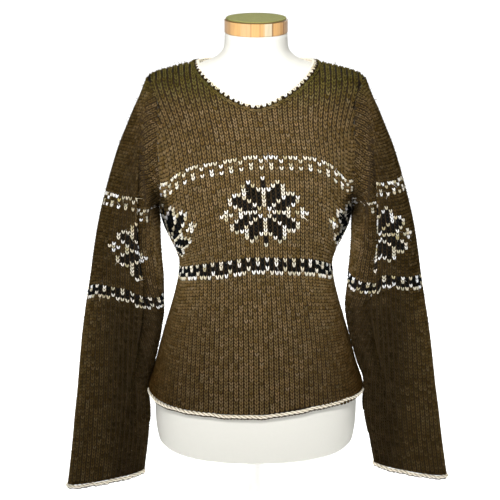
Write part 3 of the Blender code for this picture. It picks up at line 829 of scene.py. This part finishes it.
def closed_object(name, rings, material):
    """A solid from a stack of rings, closed at both ends."""
    index = np.arange(rings[..., 0].size).reshape(rings.shape[:2])
    faces = grid_faces(index, True)
    low = index.size
    for here, there in zip(index[0].tolist(), np.roll(index[0], -1).tolist(), strict=True):
        faces.append((low, there, here))
        faces.append((low + 1, int(index[-1, here]), int(index[-1, there])))
    ends = [rings[0].mean(axis=0), rings[-1].mean(axis=0)]
    return mesh_object(name, np.concatenate([rings.reshape(-1, 3), ends]), faces, material)


# ---- cloth shells ----


def even_angle(side, across, height, edge_angle):
    angles = np.linspace(np.pi / 2, edge_angle, 64)
    points, _ = on_form(side, angles, np.full(64, height))
    length = length_along(points)
    return np.interp(across * length[-1], length, angles)


def lay(side, across, down):
    """Angles and heights on the form for points of a panel's shell, given as flat arrays."""
    share, neck_across, _ = NECKLINES[side]
    edge = np.abs(across)
    height = row_height(side, across, down)
    edge_height = row_height(BACK, np.ones_like(down), down)
    edge_angle = np.where(down < UNDERARM_DROP, armhole_angle(side, edge_height), 0)
    even = np.array(
        [even_angle(side, *each) for each in zip(edge, height, edge_angle, strict=True)]
    )
    even_x = on_form(side, even, height)[0][:, 0]
    edge_x = on_form(side, edge_angle, edge_height)[0][:, 0]
    neck_x = np.interp(edge / NECK_SHARE, share, neck_across) * NECK_SHARE
    straight_x = np.where(edge < NECK_SHARE, neck_x, edge) * edge_x
    blend = smooth_step((down - top_drop(side, across)) / GRAIN_BLEND)
    x = straight_x * (1 - blend) + even_x * blend
    angle = np.where(blend >= 1, even, angle_at(x, height))
    return np.where(across < 0, np.pi - angle, angle), height


def panel_shell(name, side, material):
    """The shell under the front's or the back's stitches, dark as painted shade for the gaps
    between them.
    """
    neck = np.linspace(-NECK_SHARE, NECK_SHARE, 33)
    shoulder = np.linspace(NECK_SHARE, 1, 11)[1:]
    columns = np.concatenate([-shoulder[::-1], neck, shoulder])
    upper = UNDERARM_DROP * np.linspace(0, 1, 37) ** 1.2
    rows = np.concatenate([upper, np.linspace(UNDERARM_DROP, BODY_DROP, 31)[1:]])
    across, down = np.meshgrid(columns, rows)
    top = top_drop(side, across)
    down = top + (BODY_DROP - top) * down / BODY_DROP
    angle, height = lay(side, across.ravel(), down.ravel())
    walls = []
    for depth in (SHELL_DEPTH, SHELL_DEPTH + SHELL_WALL):
        points, _ = lifted(side, angle, height, depth)
        on_seam = np.abs(points[:, 1]) < GAP / 2
        points[:, 1] = np.where(on_seam, side * GAP / 2, points[:, 1])
        walls.append(points.reshape(*across.shape, 3))
    return wall_object(name, *walls, material)


def sleeve_shell(name, hand, material):
    face, _, _ = sleeve_rings(hand, 240, 2)
    normals = tube_normals(face)
    walls = [face - depth * normals for depth in (SHELL_DEPTH, SHELL_DEPTH + SHELL_WALL)]
    return wall_object(name, *walls, material, closed=True)


# ---- node helpers ----


def feed(tree, node, **inputs):
    """Fills a node's inputs, named or as _number, with values or from other nodes' sockets."""
    for key, value in inputs.items():
        socket = node.inputs[int(key[1:])] if key[0] == "_" else node.inputs[key.replace("_", " ")]
        if isinstance(value, bpy.types.NodeSocket):
            tree.links.new(value, socket)
        else:
            socket.default_value = value
    return node


def add_node(tree, kind, settings=None, **inputs):
    node = tree.nodes.new(kind)
    for key, value in (settings or {}).items():
        setattr(node, key, value)
    return feed(tree, node, **inputs)


def put(tree, kind, settings=None, **inputs):
    """The first output of a new node."""
    return add_node(tree, kind, settings, **inputs).outputs[0]


def math_node(tree, operation, *values):
    inputs = {f"_{k}": value for k, value in enumerate(values)}
    return put(tree, "ShaderNodeMath", {"operation": operation}, **inputs)


def vector_math(tree, operation, **inputs):
    return put(tree, "ShaderNodeVectorMath", {"operation": operation}, **inputs)


def new_group(name, kind, inputs, outputs):
    """An empty node group, with its inputs given as (name, kind of socket, value)."""
    tree = bpy.data.node_groups.new(name, kind)
    for way, sockets in (("OUTPUT", outputs), ("INPUT", inputs)):
        for label, form, *value in sockets:
            form = "NodeSocket" + form
            socket = tree.interface.new_socket(label, in_out=way, socket_type=form)
            if value:
                socket.default_value = value[0]
    given, result = tree.nodes.new("NodeGroupInput"), tree.nodes.new("NodeGroupOutput")
    return tree, given.outputs, result.inputs


def geometry_group(name, *inputs):
    mesh = ("Geometry", "Geometry")
    inputs = (mesh, *inputs, ("Material", "Material"))
    return new_group(name, "GeometryNodeTree", inputs, (mesh,))


def finish_tree(tree, geometry, given, result):
    """Makes what a tree has placed real and gives it its material."""
    real = put(tree, "GeometryNodeRealizeInstances", Geometry=geometry)
    done = put(tree, "GeometryNodeSetMaterial", Geometry=real, Material=given["Material"])
    tree.links.new(done, result[0])


def named_vector(tree, label):
    kind = {"data_type": "FLOAT_VECTOR"}
    return put(tree, "GeometryNodeInputNamedAttribute", kind, Name=label)


def carrier_object(name, points, edges=(), **vectors):
    """Bare points, or a line, for a tree to work on. Each point carries the vectors."""
    mesh = bpy.data.meshes.new(name + "_points")
    mesh.from_pydata([tuple(p) for p in points], edges, [])
    for label, values in vectors.items():
        layer = mesh.attributes.new(label, "FLOAT_VECTOR", "POINT")
        layer.data.foreach_set("vector", np.ascontiguousarray(values, dtype=np.float32).ravel())
    return new_object(name + "_points", mesh)


def run_tree(name, carrier, tree, values):
    """A plain mesh object made by a tree on a carrier object."""
    modifier = carrier.modifiers.new(tree.name, "NODES")
    modifier.node_group = tree
    for item in tree.interface.items_tree:
        if item.in_out == "INPUT" and item.name in values:
            modifier[item.identifier] = values[item.name]
    graph = bpy.context.evaluated_depsgraph_get()
    mesh = bpy.data.meshes.new_from_object(carrier.evaluated_get(graph))
    mesh.name = name
    carrier.modifiers.remove(modifier)
    bpy.data.objects.remove(carrier)
    return new_object(name, mesh)


LegRing = namedtuple("LegRing", "across up low high half_width")
LEG = (
    LegRing(0.08, -0.68, -0.6, -0.6, 0.00),
    LegRing(0.11, -0.34, -0.6, 0.95, 0.18),
    LegRing(0.20, 0.04, -0.6, 1.15, 0.20),
    LegRing(0.29, 0.42, -0.6, 0.80, 0.16),
    LegRing(0.36, 0.78, -0.9, -0.9, 0.00),
)  # in stitch widths, row heights and yarn thicknesses


def stitch_object():
    """One stitch: a V of two yarn legs whose ends dive behind their neighbours."""
    points, faces = [], []
    for hand in (1, -1):
        start = len(points)
        points.append((hand * LEG[0].across, LEG[0].up, LEG[0].low))
        for ring in LEG[1:-1]:
            w, a, u = ring.half_width, ring.across, ring.up
            points.append((hand * (a - w), u + w / 3, ring.low))
            points.append((hand * a, u, ring.high))
            points.append((hand * (a + w), u - w / 3, ring.low))
        points.append((hand * LEG[-1].across, LEG[-1].up, LEG[-1].low))
        rings = len(LEG) - 2
        for k in range(3):
            here, there = start + 1 + k, start + 1 + (k + 1) % 3
            faces.append((start, here, there))
            for r in range(rings - 1):
                faces.append((here + 3 * r, here + 3 * r + 3, there + 3 * r + 3, there + 3 * r))
            last = 3 * (rings - 1)
            faces.append((start + 3 * rings + 1, there + last, here + last))
    mesh = solid_mesh("stitch", points, faces, triangles=True)
    # lift is 1 on the legs' ridges and 0 at their base, for the yarn's painted shade
    lift = mesh.attributes.new("lift", "FLOAT", "POINT")
    for k, vertex in enumerate(mesh.vertices):
        lift.data[k].value = float(vertex.co.z > 0)
    return new_object("stitch", mesh)


def stitch_tree():
    """Stands a stitch on each point. The points carry the step to the next column, the step to the
    row above and the way out of the cloth."""
    tree, given, result = geometry_group(
        "Stocking stitch", ("Stitch", "Object"), ("Yarn Thickness", "Float", YARN_THICKNESS)
    )
    model = add_node(tree, "GeometryNodeObjectInfo", Object=given["Stitch"])
    stood = put(
        tree,
        "GeometryNodeInstanceOnPoints",
        Points=given["Geometry"],
        Instance=model.outputs["Geometry"],
    )
    columns = [named_vector(tree, label) for label in ("across", "up", "out")]
    columns[2] = vector_math(tree, "SCALE", _0=columns[2], Scale=given["Yarn Thickness"])
    columns.append(put(tree, "GeometryNodeInputPosition"))
    matrix = add_node(tree, "FunctionNodeCombineMatrix")
    for k, column in enumerate(columns):
        parts = add_node(tree, "ShaderNodeSeparateXYZ", _0=column)
        for row in range(3):
            tree.links.new(parts.outputs[row], matrix.inputs[k * 4 + row])
    place = {"Instances": stood, "Transform": matrix.outputs[0]}
    laid = put(tree, "GeometryNodeSetInstanceTransform", **place)
    finish_tree(tree, laid, given, result)
    return tree


def cord_tree():
    """Lays two plies of yarn round a closed line of points, twisted round each other. The line
    carries a vector that points sideways from it."""
    tree, given, result = geometry_group(
        "Twisted cord",
        ("Ply Radius", "Float", 0.0013),
        ("Turns", "Float", 100.0),
        ("Phase", "Float", 0.0),
        ("Steps", "Int", 800),
    )
    line = put(tree, "GeometryNodeMeshToCurve", Mesh=given["Geometry"])
    even = put(tree, "GeometryNodeResampleCurve", Curve=line, Count=given["Steps"])
    along = add_node(tree, "GeometryNodeSplineParameter").outputs["Factor"]
    tangent = put(tree, "GeometryNodeInputTangent")
    side = vector_math(tree, "NORMALIZE", _0=named_vector(tree, "side"))
    other = vector_math(tree, "CROSS_PRODUCT", _0=side, _1=tangent)
    turned = math_node(tree, "MULTIPLY", along, given["Turns"])
    angle = math_node(tree, "MULTIPLY_ADD", turned, 2 * math.pi, given["Phase"])
    radius = given["Ply Radius"]
    plies = tree.nodes.new("GeometryNodeJoinGeometry")
    for phase in (0.0, math.pi):
        at = math_node(tree, "ADD", angle, phase)
        parts = []
        for way, kind in ((side, "COSINE"), (other, "SINE")):
            size = math_node(tree, "MULTIPLY", math_node(tree, kind, at), radius)
            parts.append(vector_math(tree, "SCALE", _0=way, Scale=size))
        off = vector_math(tree, "ADD", _0=parts[0], _1=parts[1])
        ply = put(tree, "GeometryNodeSetPosition", Geometry=even, Offset=off)
        thin = math_node(tree, "MULTIPLY", radius, PLY_SHARE)
        section = put(tree, "GeometryNodeCurvePrimitiveCircle", Resolution=6, Radius=thin)
        tube = put(tree, "GeometryNodeCurveToMesh", Curve=ply, Profile_Curve=section)
        tree.links.new(tube, plies.inputs[0])
    smooth = put(tree, "GeometryNodeSetShadeSmooth", Geometry=plies.outputs[0])
    finish_tree(tree, smooth, given, result)
    return tree


def fade(value, start, width):
    """From 0 at the start to 1, over a width that may be negative."""
    return smooth_step((value - start) / width)


def yarn_colours(names, places, sleeve, seed):
    """A colour for each stitch: its yarn's, a little lighter or darker, with painted shade on the
    ground by where it lies: darker and olive on the shoulders, darker in the sleeves and towards
    the sides, and on every yarn a painted shadow between the body and the sleeve."""
    random = np.random.default_rng(seed)
    base = np.array([YARNS[name] for name in names])
    spread = COLOUR_SPREAD * (SLEEVE_SPREAD if sleeve else 1)
    light = 1 + spread * random.normal(size=(len(names), 1))
    warm = 0.025 * random.normal(size=(len(names), 1)) * np.array([1.0, 0.0, -1.2])
    warm = warm + (light - 1) * np.array([-0.12, 0.0, 0.60])  # the lighter, the greyer
    away, height = np.abs(places[:, :1]), places[:, 2:]
    low = fade(height, 0.44, -0.10)
    near_side = np.clip(away / 0.17, 0, 1) ** 2
    # painted shade: the ground darker towards the sides and over the sleeves, more so low on the
    # body
    shade = 1 - SIDE_SHADE * near_side * (1 + 1.1 * low * (not sleeve))
    if sleeve:
        # painted shade: the sleeves' ground darker than the body's, most in the upper sleeve
        sleeve_painted_shade = SLEEVE_PAINTED_SHADE * (1 - low) + LOW_SLEEVE_PAINTED_SHADE * low
        shade = shade * (1 - (1 - sleeve_painted_shade) * fade(away, 0.165, 0.04))
        # painted shadow of the body on the inner side of the lower sleeve
        shade = shade * (1 - INNER_SLEEVE_SHADE * low * fade(away, 0.278, -0.06))
        nook = np.hypot((away - 0.155) / 0.020, (height - 0.535) / 0.035)
    else:
        nook = (form_half_width(height) - away) / NOOK.width
        nook += 4 * (1 - fade(height, NOOK.low, 0.03))
        nook += 4 * (1 - fade(height, NOOK.high, -0.03))
        nook = np.maximum(nook, 0)
    # painted shadow between the body and the sleeve, on the front only, over every yarn
    dark = 1 - NOOK.shade * np.exp(-(nook**4)) * (places[:, 1:2] < 0)
    # painted shade: the ground darker and more olive from the shoulders up
    shade = shade * (1 - fade(height, 0.690, 0.050) * (1 - SHOULDER_PAINTED_SHADE))
    ground = (names == "brown")[:, None]
    shade = np.where(ground, shade, 1) * dark
    return np.clip(base * np.clip(light, 0.6, 1.5) * (1 + warm) * shade, 0, 1)


def knit_object(name, cells, stitch, tree, material, seed, sleeve=False):
    """All the stitches of one piece of cloth, as one mesh."""
    middle, across, up, names = cells
    random = np.random.default_rng(seed)
    out = unit(np.cross(across, up))
    wander = STITCH_WANDER * random.normal(size=(3, len(middle), 1))
    middle = middle + across * wander[0] + up * wander[1]
    across = across + up * wander[2]
    carrier = carrier_object(name, middle, across=across, up=up, out=out)
    colours = np.ones((len(middle), 4), np.float32)
    colours[:, :3] = yarn_colours(names, middle, sleeve, seed)
    layer = carrier.data.attributes.new("yarn", "FLOAT_COLOR", "POINT")
    layer.data.foreach_set("color", colours.ravel())
    values = {"Material": material, "Stitch": stitch, "Yarn Thickness": YARN_THICKNESS}
    return run_tree(name, carrier, tree, values)


def cord_object(name, line, up, out, cord, tree, material):
    """A two-ply cord beside a closed line, moved up and out from it."""
    line = line + up * cord.up + out * cord.out
    count = len(line)
    carrier = carrier_object(name, line, [(k, (k + 1) % count) for k in range(count)], side=out)
    length = length_along(np.concatenate([line, line[:1]]))[-1]
    turns = float(round(length / cord.turn))
    values = {
        "Ply Radius": cord.ply,
        "Turns": -turns,
        "Phase": cord.phase,
        "Steps": int(turns * CORD_STEPS),
        "Material": material,
    }
    return run_tree(name, carrier, tree, values)


# ---- materials ----


def new_material(name):
    material = bpy.data.materials.new(name)
    material.use_nodes = True
    tree = material.node_tree
    return material, tree, tree.nodes["Principled BSDF"]


def bump(tree, height, distance, strength):
    size = {"Distance": distance, "Strength": strength}
    return put(tree, "ShaderNodeBump", Height=height, **size)


def fibre_group():
    """Short fibres and lint: a shade round 1, and a height for a bump."""
    tree, given, result = new_group(
        "Fibres",
        "ShaderNodeTree",
        (("Vector", "Vector"), ("Scale", "Float"), ("Contrast", "Float")),
        (("Shade", "Float"), ("Height", "Float")),
    )
    place, scale = given["Vector"], given["Scale"]
    fine = put(tree, "ShaderNodeTexNoise", Vector=place, Scale=scale, Detail=3.0)
    lint = math_node(tree, "MULTIPLY", scale, 0.13)
    coarse = put(tree, "ShaderNodeTexNoise", Vector=place, Scale=lint, Detail=2.0)
    both = math_node(tree, "MULTIPLY_ADD", coarse, 0.5, fine)
    centred = math_node(tree, "SUBTRACT", both, 0.75)
    shade = math_node(tree, "MULTIPLY_ADD", centred, given["Contrast"], 1.0)
    tree.links.new(shade, result["Shade"])
    tree.links.new(fine, result["Height"])
    return tree


def cloth_material(name, group, colour, scale, contrast, depth, specular=0.1):
    """Cloth or felt: colour is a fixed colour, or the name of the attribute that carries it."""
    material, tree, shader = new_material(name)
    place = add_node(tree, "ShaderNodeTexCoord").outputs["Object"]
    sizes = {"Scale": scale, "Contrast": contrast}
    fibres = add_node(tree, "ShaderNodeGroup", {"node_tree": group}, Vector=place, **sizes)
    shade = fibres.outputs["Shade"]
    if isinstance(colour, str):
        colour = add_node(tree, "ShaderNodeAttribute", {"attribute_name": colour}).outputs["Color"]
        # painted shade: the yarn darker from each leg's ridge down to its base
        lift = add_node(tree, "ShaderNodeAttribute", {"attribute_name": "lift"}).outputs["Fac"]
        deep = math_node(tree, "MULTIPLY_ADD", lift, 1 - DEEP_SHADE, DEEP_SHADE)
        shade = math_node(tree, "MULTIPLY", shade, deep)
    shaded = vector_math(tree, "SCALE", _0=colour, Scale=shade)
    normal = bump(tree, fibres.outputs["Height"], depth, 0.6)
    feed(tree, shader, Base_Color=shaded, Normal=normal)
    feed(tree, shader, Roughness=0.95, Specular_IOR_Level=specular)
    return material


def stave_material(name):
    """Oiled beech, glued up from upright staves, with a darker line where two meet and a darker
    brown band on the top face round the felt."""
    material, tree, shader = new_material(name)
    place = add_node(tree, "ShaderNodeTexCoord").outputs["Object"]
    x, y, z = add_node(tree, "ShaderNodeSeparateXYZ", _0=place).outputs
    angle = math_node(tree, "ARCTAN2", x, math_node(tree, "MULTIPLY", y, -1.0))
    turn = math_node(tree, "MULTIPLY_ADD", angle, 0.5 / math.pi, 0.5)
    staves = add_node(tree, "ShaderNodeValToRGB", Fac=turn)
    staves.color_ramp.interpolation = "CONSTANT"
    marks = staves.color_ramp.elements
    marks[0].color = (*WOODS[STAVES[-1][1]], 1)
    marks.remove(marks[1])
    start = -180
    for end, wood, seam in STAVES:
        marks.new(start / 360 + 0.5).color = (*WOODS[wood], 1)
        marks.new((end - SEAM_WIDTH) / 360 + 0.5).color = (*WOODS[seam], 1)
        start = end
    along = put(tree, "ShaderNodeMapping", Vector=place, Scale=(1.0, 1.0, 0.06))
    grain = put(tree, "ShaderNodeTexNoise", Vector=along, Scale=420.0, Detail=3.0)
    shade = math_node(tree, "MULTIPLY_ADD", grain, 0.5, 0.75)
    wood = vector_math(tree, "SCALE", _0=staves.outputs[0], Scale=shade)
    # the cap's top face and upper edge, round the felt, in a darker brown
    level = math_node(tree, "GREATER_THAN", z, CAP_TOP - FELT_THICKNESS - 0.0016)
    top_band = (*WOODS["top_band"], 1)
    top = add_node(tree, "ShaderNodeMix", {"data_type": "RGBA"}, _0=level, _6=wood, _7=top_band)
    normal = bump(tree, grain, 0.0002, 0.3)
    feed(tree, shader, Base_Color=top.outputs[2], Roughness=0.38, Normal=normal)
    return material


def paint_material(name, colour):
    """Satin paint with a faint orange peel, a little duller where it has been handled."""
    material, tree, shader = new_material(name)
    place = add_node(tree, "ShaderNodeTexCoord").outputs["Object"]
    peel = put(tree, "ShaderNodeTexNoise", Vector=place, Scale=700.0, Detail=1.0)
    wear = put(tree, "ShaderNodeTexNoise", Vector=place, Scale=22.0, Detail=3.0)
    rough = math_node(tree, "MULTIPLY_ADD", wear, 0.3, 0.28)
    normal = bump(tree, peel, 0.0002, 0.2)
    feed(tree, shader, Base_Color=(*colour, 1), Roughness=rough, Normal=normal)
    return material


def plain_material(name, colour, roughness):
    material, tree, shader = new_material(name)
    feed(tree, shader, Base_Color=(*colour, 1), Roughness=roughness)
    return material


# ---- pieces ----


def ride(piece, *nodes, slot="wool_knit"):
    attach(piece, "root")
    if nodes:
        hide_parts(*nodes)


def make_sweater(fibres):
    wool = cloth_material("wool", fibres, "yarn", 900.0, 1.45, 0.0007, specular=0.02)
    # painted shade: the shell is coloured far darker than the yarn, so the gaps between stitches
    # read as shaded depth
    inside = cloth_material("wool_inside", fibres, (0.022, 0.014, 0.006), 900.0, 0.6, 0.0004)
    tree, stitch = stitch_tree(), stitch_object()
    edgings = make_edgings(tree, stitch, wool, fibres)
    cloths = []
    for word, way, node in CLOTHS:
        sleeve = node.startswith("sleeve")
        shell = (sleeve_shell if sleeve else panel_shell)("shell_" + word, way, inside)
        cells = (knit_sleeve if sleeve else knit_body)(way)
        cloths.append((word, node, sleeve, shell, cells))
    for seed, (word, node, sleeve, shell, cells) in enumerate(cloths):
        knit = knit_object("knit_" + word, cells, stitch, tree, wool, seed, sleeve)
        fuzz = fuzz_object("fuzz_" + word, knit, wool, seed)
        ride(shell, node)
        ride(knit)
        ride(fuzz)
    bpy.data.objects.remove(stitch)


def make_edgings(tree, stitch, wool, fibres):
    """The picked-up edge of the neck, and the twisted cords round neck, hem and cuffs."""
    yarns = {
        yarn: cloth_material("wool_" + word, fibres, YARNS[yarn], 900.0, contrast, 0.0005)
        for word, yarn, contrast in CORD_YARNS
    }
    twist = cord_tree()
    line, way, onward = neck_line()
    knit = knit_object("neck_edge_knit", picked_up(line, way, onward), stitch, tree, wool, 9)
    ride(knit, "neck_edge")
    loops = [("neck", (), line, way, onward, NECK_CORDS)]
    edges = [("hem", "hem_edge", *hem_loop())]
    for hand, word in ((LEFT, "left"), (RIGHT, "right")):
        edges.append(("cuff_" + word, "cuff_edge_" + word, *cuff_loop(hand)))
    for word, node, line, out in edges:
        line = line + out * EDGE_OUT + edge_wander(len(line))
        loops.append((word, (node,), line, out, np.array([0, 0, 1.0]), EDGE_CORDS))
    edgings = {"neck": [knit]}
    for word, nodes, line, out, up, cords in loops:
        for cord in cords:
            name, yarn = word + "_" + cord.part, yarns[cord.yarn]
            piece = cord_object(name, line, up, out, cord, twist, yarn)
            slot = "cream_wool" if cord.yarn == "cream" else "wool_knit"
            ride(piece, *(nodes if cord is cords[0] else ()), slot=slot)
            edgings.setdefault(word, []).append(piece)
    return edgings


def edge_wander(count):
    """A small rise and fall of an edge, for a closed line of so many points."""
    around = np.linspace(0, 2 * np.pi, count, endpoint=False)
    rise = 0.0006 * np.sin(7 * around + 0.8) + 0.0005 * np.sin(17 * around + 2.1)
    rise += 0.0004 * np.sin(31 * around + 4.0)
    return rise[:, None] * np.array([0.0, 0.0, 1.0])


def hem_loop():
    """The middle of the cord under the hem, and the way out of the cloth."""
    across = np.linspace(-1, 1, 181)
    down = np.full(across.shape, BODY_DROP)
    line, way = loop_of(lambda side: lifted(side, *lay(side, across, down), WALL * 0.4))
    way[:, 2] = 0
    line[:, 2] -= 0.0024
    return line, unit(way)


def cuff_loop(hand):
    rings, _, _ = sleeve_rings(hand, 240, 8)
    normals = tube_normals(rings)
    onward = unit((rings[-1] - rings[-2]).mean(axis=0))
    line = rings[-1] - normals[-1] * WALL * 0.4 + onward * 0.0024
    return line, normals[-1]


def neck_line():
    """The neck's edge in even steps, the way out of the cloth and the way into the opening."""
    x = np.linspace(-NECK_HALF_WIDTH, NECK_HALF_WIDTH, 241)

    def half(side):
        height = NECK_HEIGHT - neck_drop(side, x)
        angle = angle_at(x, height)
        return lifted(side, np.where(x < 0, np.pi - angle, angle), height)

    line, way = loop_of(half)
    closed = np.concatenate([line, line[:1]])
    out = np.concatenate([way, way[:1]])
    length = length_along(closed)
    at = np.linspace(0, length[-1], int(round(length[-1] / NECK_PITCH)), endpoint=False)
    line, way = between(at, length, closed), unit(between(at, length, out))
    along = unit(np.roll(line, -1, axis=0) - np.roll(line, 1, axis=0))
    return line, way, unit(np.cross(way, along))


def picked_up(line, way, onward):
    """Round the neck: cream stitches picked up along the edge, the dark points of the cloth
    between them, and the raised line of chain behind."""
    along = np.cross(onward, way) * NECK_PITCH
    between = (line + np.roll(line, -1, axis=0)) / 2
    cream = (line + onward * 0.0016 - way * 0.0004, along * 1.0, onward * 0.0058)
    points = (between + onward * 0.0002 + way * 0.0003, along * -0.62, onward * -0.0042)
    chain = (line - onward * 0.0052 + way * 0.0006, onward * -0.0052, along * 1.1)
    names = np.repeat(["cream", "dark", "brown"], len(line))
    return *(np.concatenate(part) for part in zip(cream, points, chain, strict=True)), names


def fuzz_tree():
    """Sows short hairs over a knit piece, leaning away from its yarn."""
    tree, given, result = geometry_group(
        "Fuzz",
        ("Hairs per Area", "Float", 8000.0),
        ("Length", "Float", 0.012),
        ("Thickness", "Float", 0.0004),
        ("Seed", "Int", 1),
    )
    sown = add_node(
        tree,
        "GeometryNodeDistributePointsOnFaces",
        Mesh=given["Geometry"],
        Density=given["Hairs per Area"],
        Seed=given["Seed"],
    )
    hair = {"Radius_Bottom": given["Thickness"], "Depth": given["Length"]}
    hair = put(tree, "GeometryNodeMeshCone", Vertices=3, Side_Segments=1, **hair)
    kind = {"data_type": "FLOAT_VECTOR"}
    reach = np.array([LEAN, LEAN, math.pi])
    lean = put(tree, "FunctionNodeRandomValue", kind, _0=-reach, _1=reach, Seed=given["Seed"])
    turned = put(tree, "FunctionNodeEulerToRotation", Euler=lean)
    kind = {"rotation_space": "LOCAL"}
    leaning = {"Rotation": sown.outputs["Rotation"], "Rotate_By": turned}
    leaning = put(tree, "FunctionNodeRotateRotation", kind, **leaning)
    size = add_node(tree, "FunctionNodeRandomValue", {"data_type": "FLOAT"}, _2=0.4, _3=1.0)
    stood = put(
        tree,
        "GeometryNodeInstanceOnPoints",
        Points=sown.outputs["Points"],
        Instance=hair,
        Rotation=leaning,
        Scale=size.outputs[1],
    )
    finish_tree(tree, stood, given, result)
    return tree


def fuzz_object(name, knit, material, seed):
    tree = bpy.data.node_groups.get("Fuzz") or fuzz_tree()
    carrier = new_object(name + "_carrier", knit.data.copy())
    return run_tree(name, carrier, tree, {"Seed": seed + 1, "Material": material})


def form_object(material):
    """The padded torso in its cover, from its lower edge to the neck."""
    heights = np.linspace(FORM_BOTTOM, FORM_TOP, 110)
    heights = np.unique(np.concatenate([heights, [r.height for r in FORM_RINGS[:3]]]))
    angles = np.linspace(0, np.pi, 57)
    rings = [
        loop_of(lambda side, z=z: on_form(side, angles, np.full(57, z)))[0] for z in heights
    ]
    return closed_object("dress_form", np.array(rings), material)


def make_form(fibres):
    cover = cloth_material("cotton_cover", fibres, (0.68, 0.67, 0.615), 1500.0, 0.05, 0.0002)
    ride(form_object(cover), "form_torso", slot="form_cover")
    felt = cloth_material("felt", fibres, (0.25, 0.25, 0.085), 1100.0, 0.5, 0.0004)
    paint = paint_material("stand_paint", (0.92, 0.915, 0.90))
    for node, material in (
        ("neck_cap", stave_material("beech_staves")),
        ("cap_felt", felt),
        ("stand_post", paint),
        ("stand_base", paint),
    ):
        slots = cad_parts[node].data.materials
        slots.clear()
        slots.append(material)


# ---- stage ----


def make_stage():
    floor = bpy.data.meshes.new("floor")
    reach = 40.0
    corners = [(-reach, -reach, 0), (reach, -reach, 0), (reach, reach, 0), (-reach, reach, 0)]
    floor.from_pydata(corners, [], [(0, 1, 2, 3)])
    floor.materials.append(plain_material("floor", (0.95, 0.95, 0.95), 0.9))
    floor = new_object("floor", floor)
    world = bpy.data.worlds.new("studio")
    world.use_nodes = True
    sky = world.node_tree.nodes["Background"].inputs
    sky["Color"].default_value, sky["Strength"].default_value = (1, 1, 1, 1), SKY
    bpy.context.scene.world = world
    bpy.context.scene.view_settings.view_transform = "Standard"
    for box in SOFT_BOXES:
        light = bpy.data.lights.new(box.name, "AREA")
        light.energy, light.size, light.spread = box.power, box.size, math.radians(box.spread)
        way = Vector(box.aim) - Vector(box.place)
        holder = hold(box.name, light, box.place, way.to_track_quat("-Z", "Y").to_euler())
        if box.name == "floor_box":
            lit = bpy.data.collections.new("lit_by_floor_box")
            for piece in (floor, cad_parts["stand_base"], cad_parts["stand_post"]):
                lit.objects.link(piece)
            holder.light_linking.receiver_collection = lit
            shading = bpy.data.collections.new("shading_floor_box")
            shading.objects.link(floor)
            holder.light_linking.blocker_collection = shading


def hold(name, data, place, turn):
    holder = new_object(name, data)
    holder.location, holder.rotation_euler = place, turn
    return holder


def make_camera():
    camera = bpy.data.cameras.new("camera")
    camera.sensor_width = SENSOR
    camera.lens = FOCAL_PIXELS / PICTURE_PIXELS * SENSOR
    turn = math.radians(90 - CAMERA_PITCH), 0, 0
    bpy.context.scene.camera = hold("camera", camera, CAMERA_PLACE, turn)


def main():
    fibres = fibre_group()
    make_camera()
    make_stage()
    make_form(fibres)
    make_sweater(fibres)
    bpy.context.view_layer.update()


main()
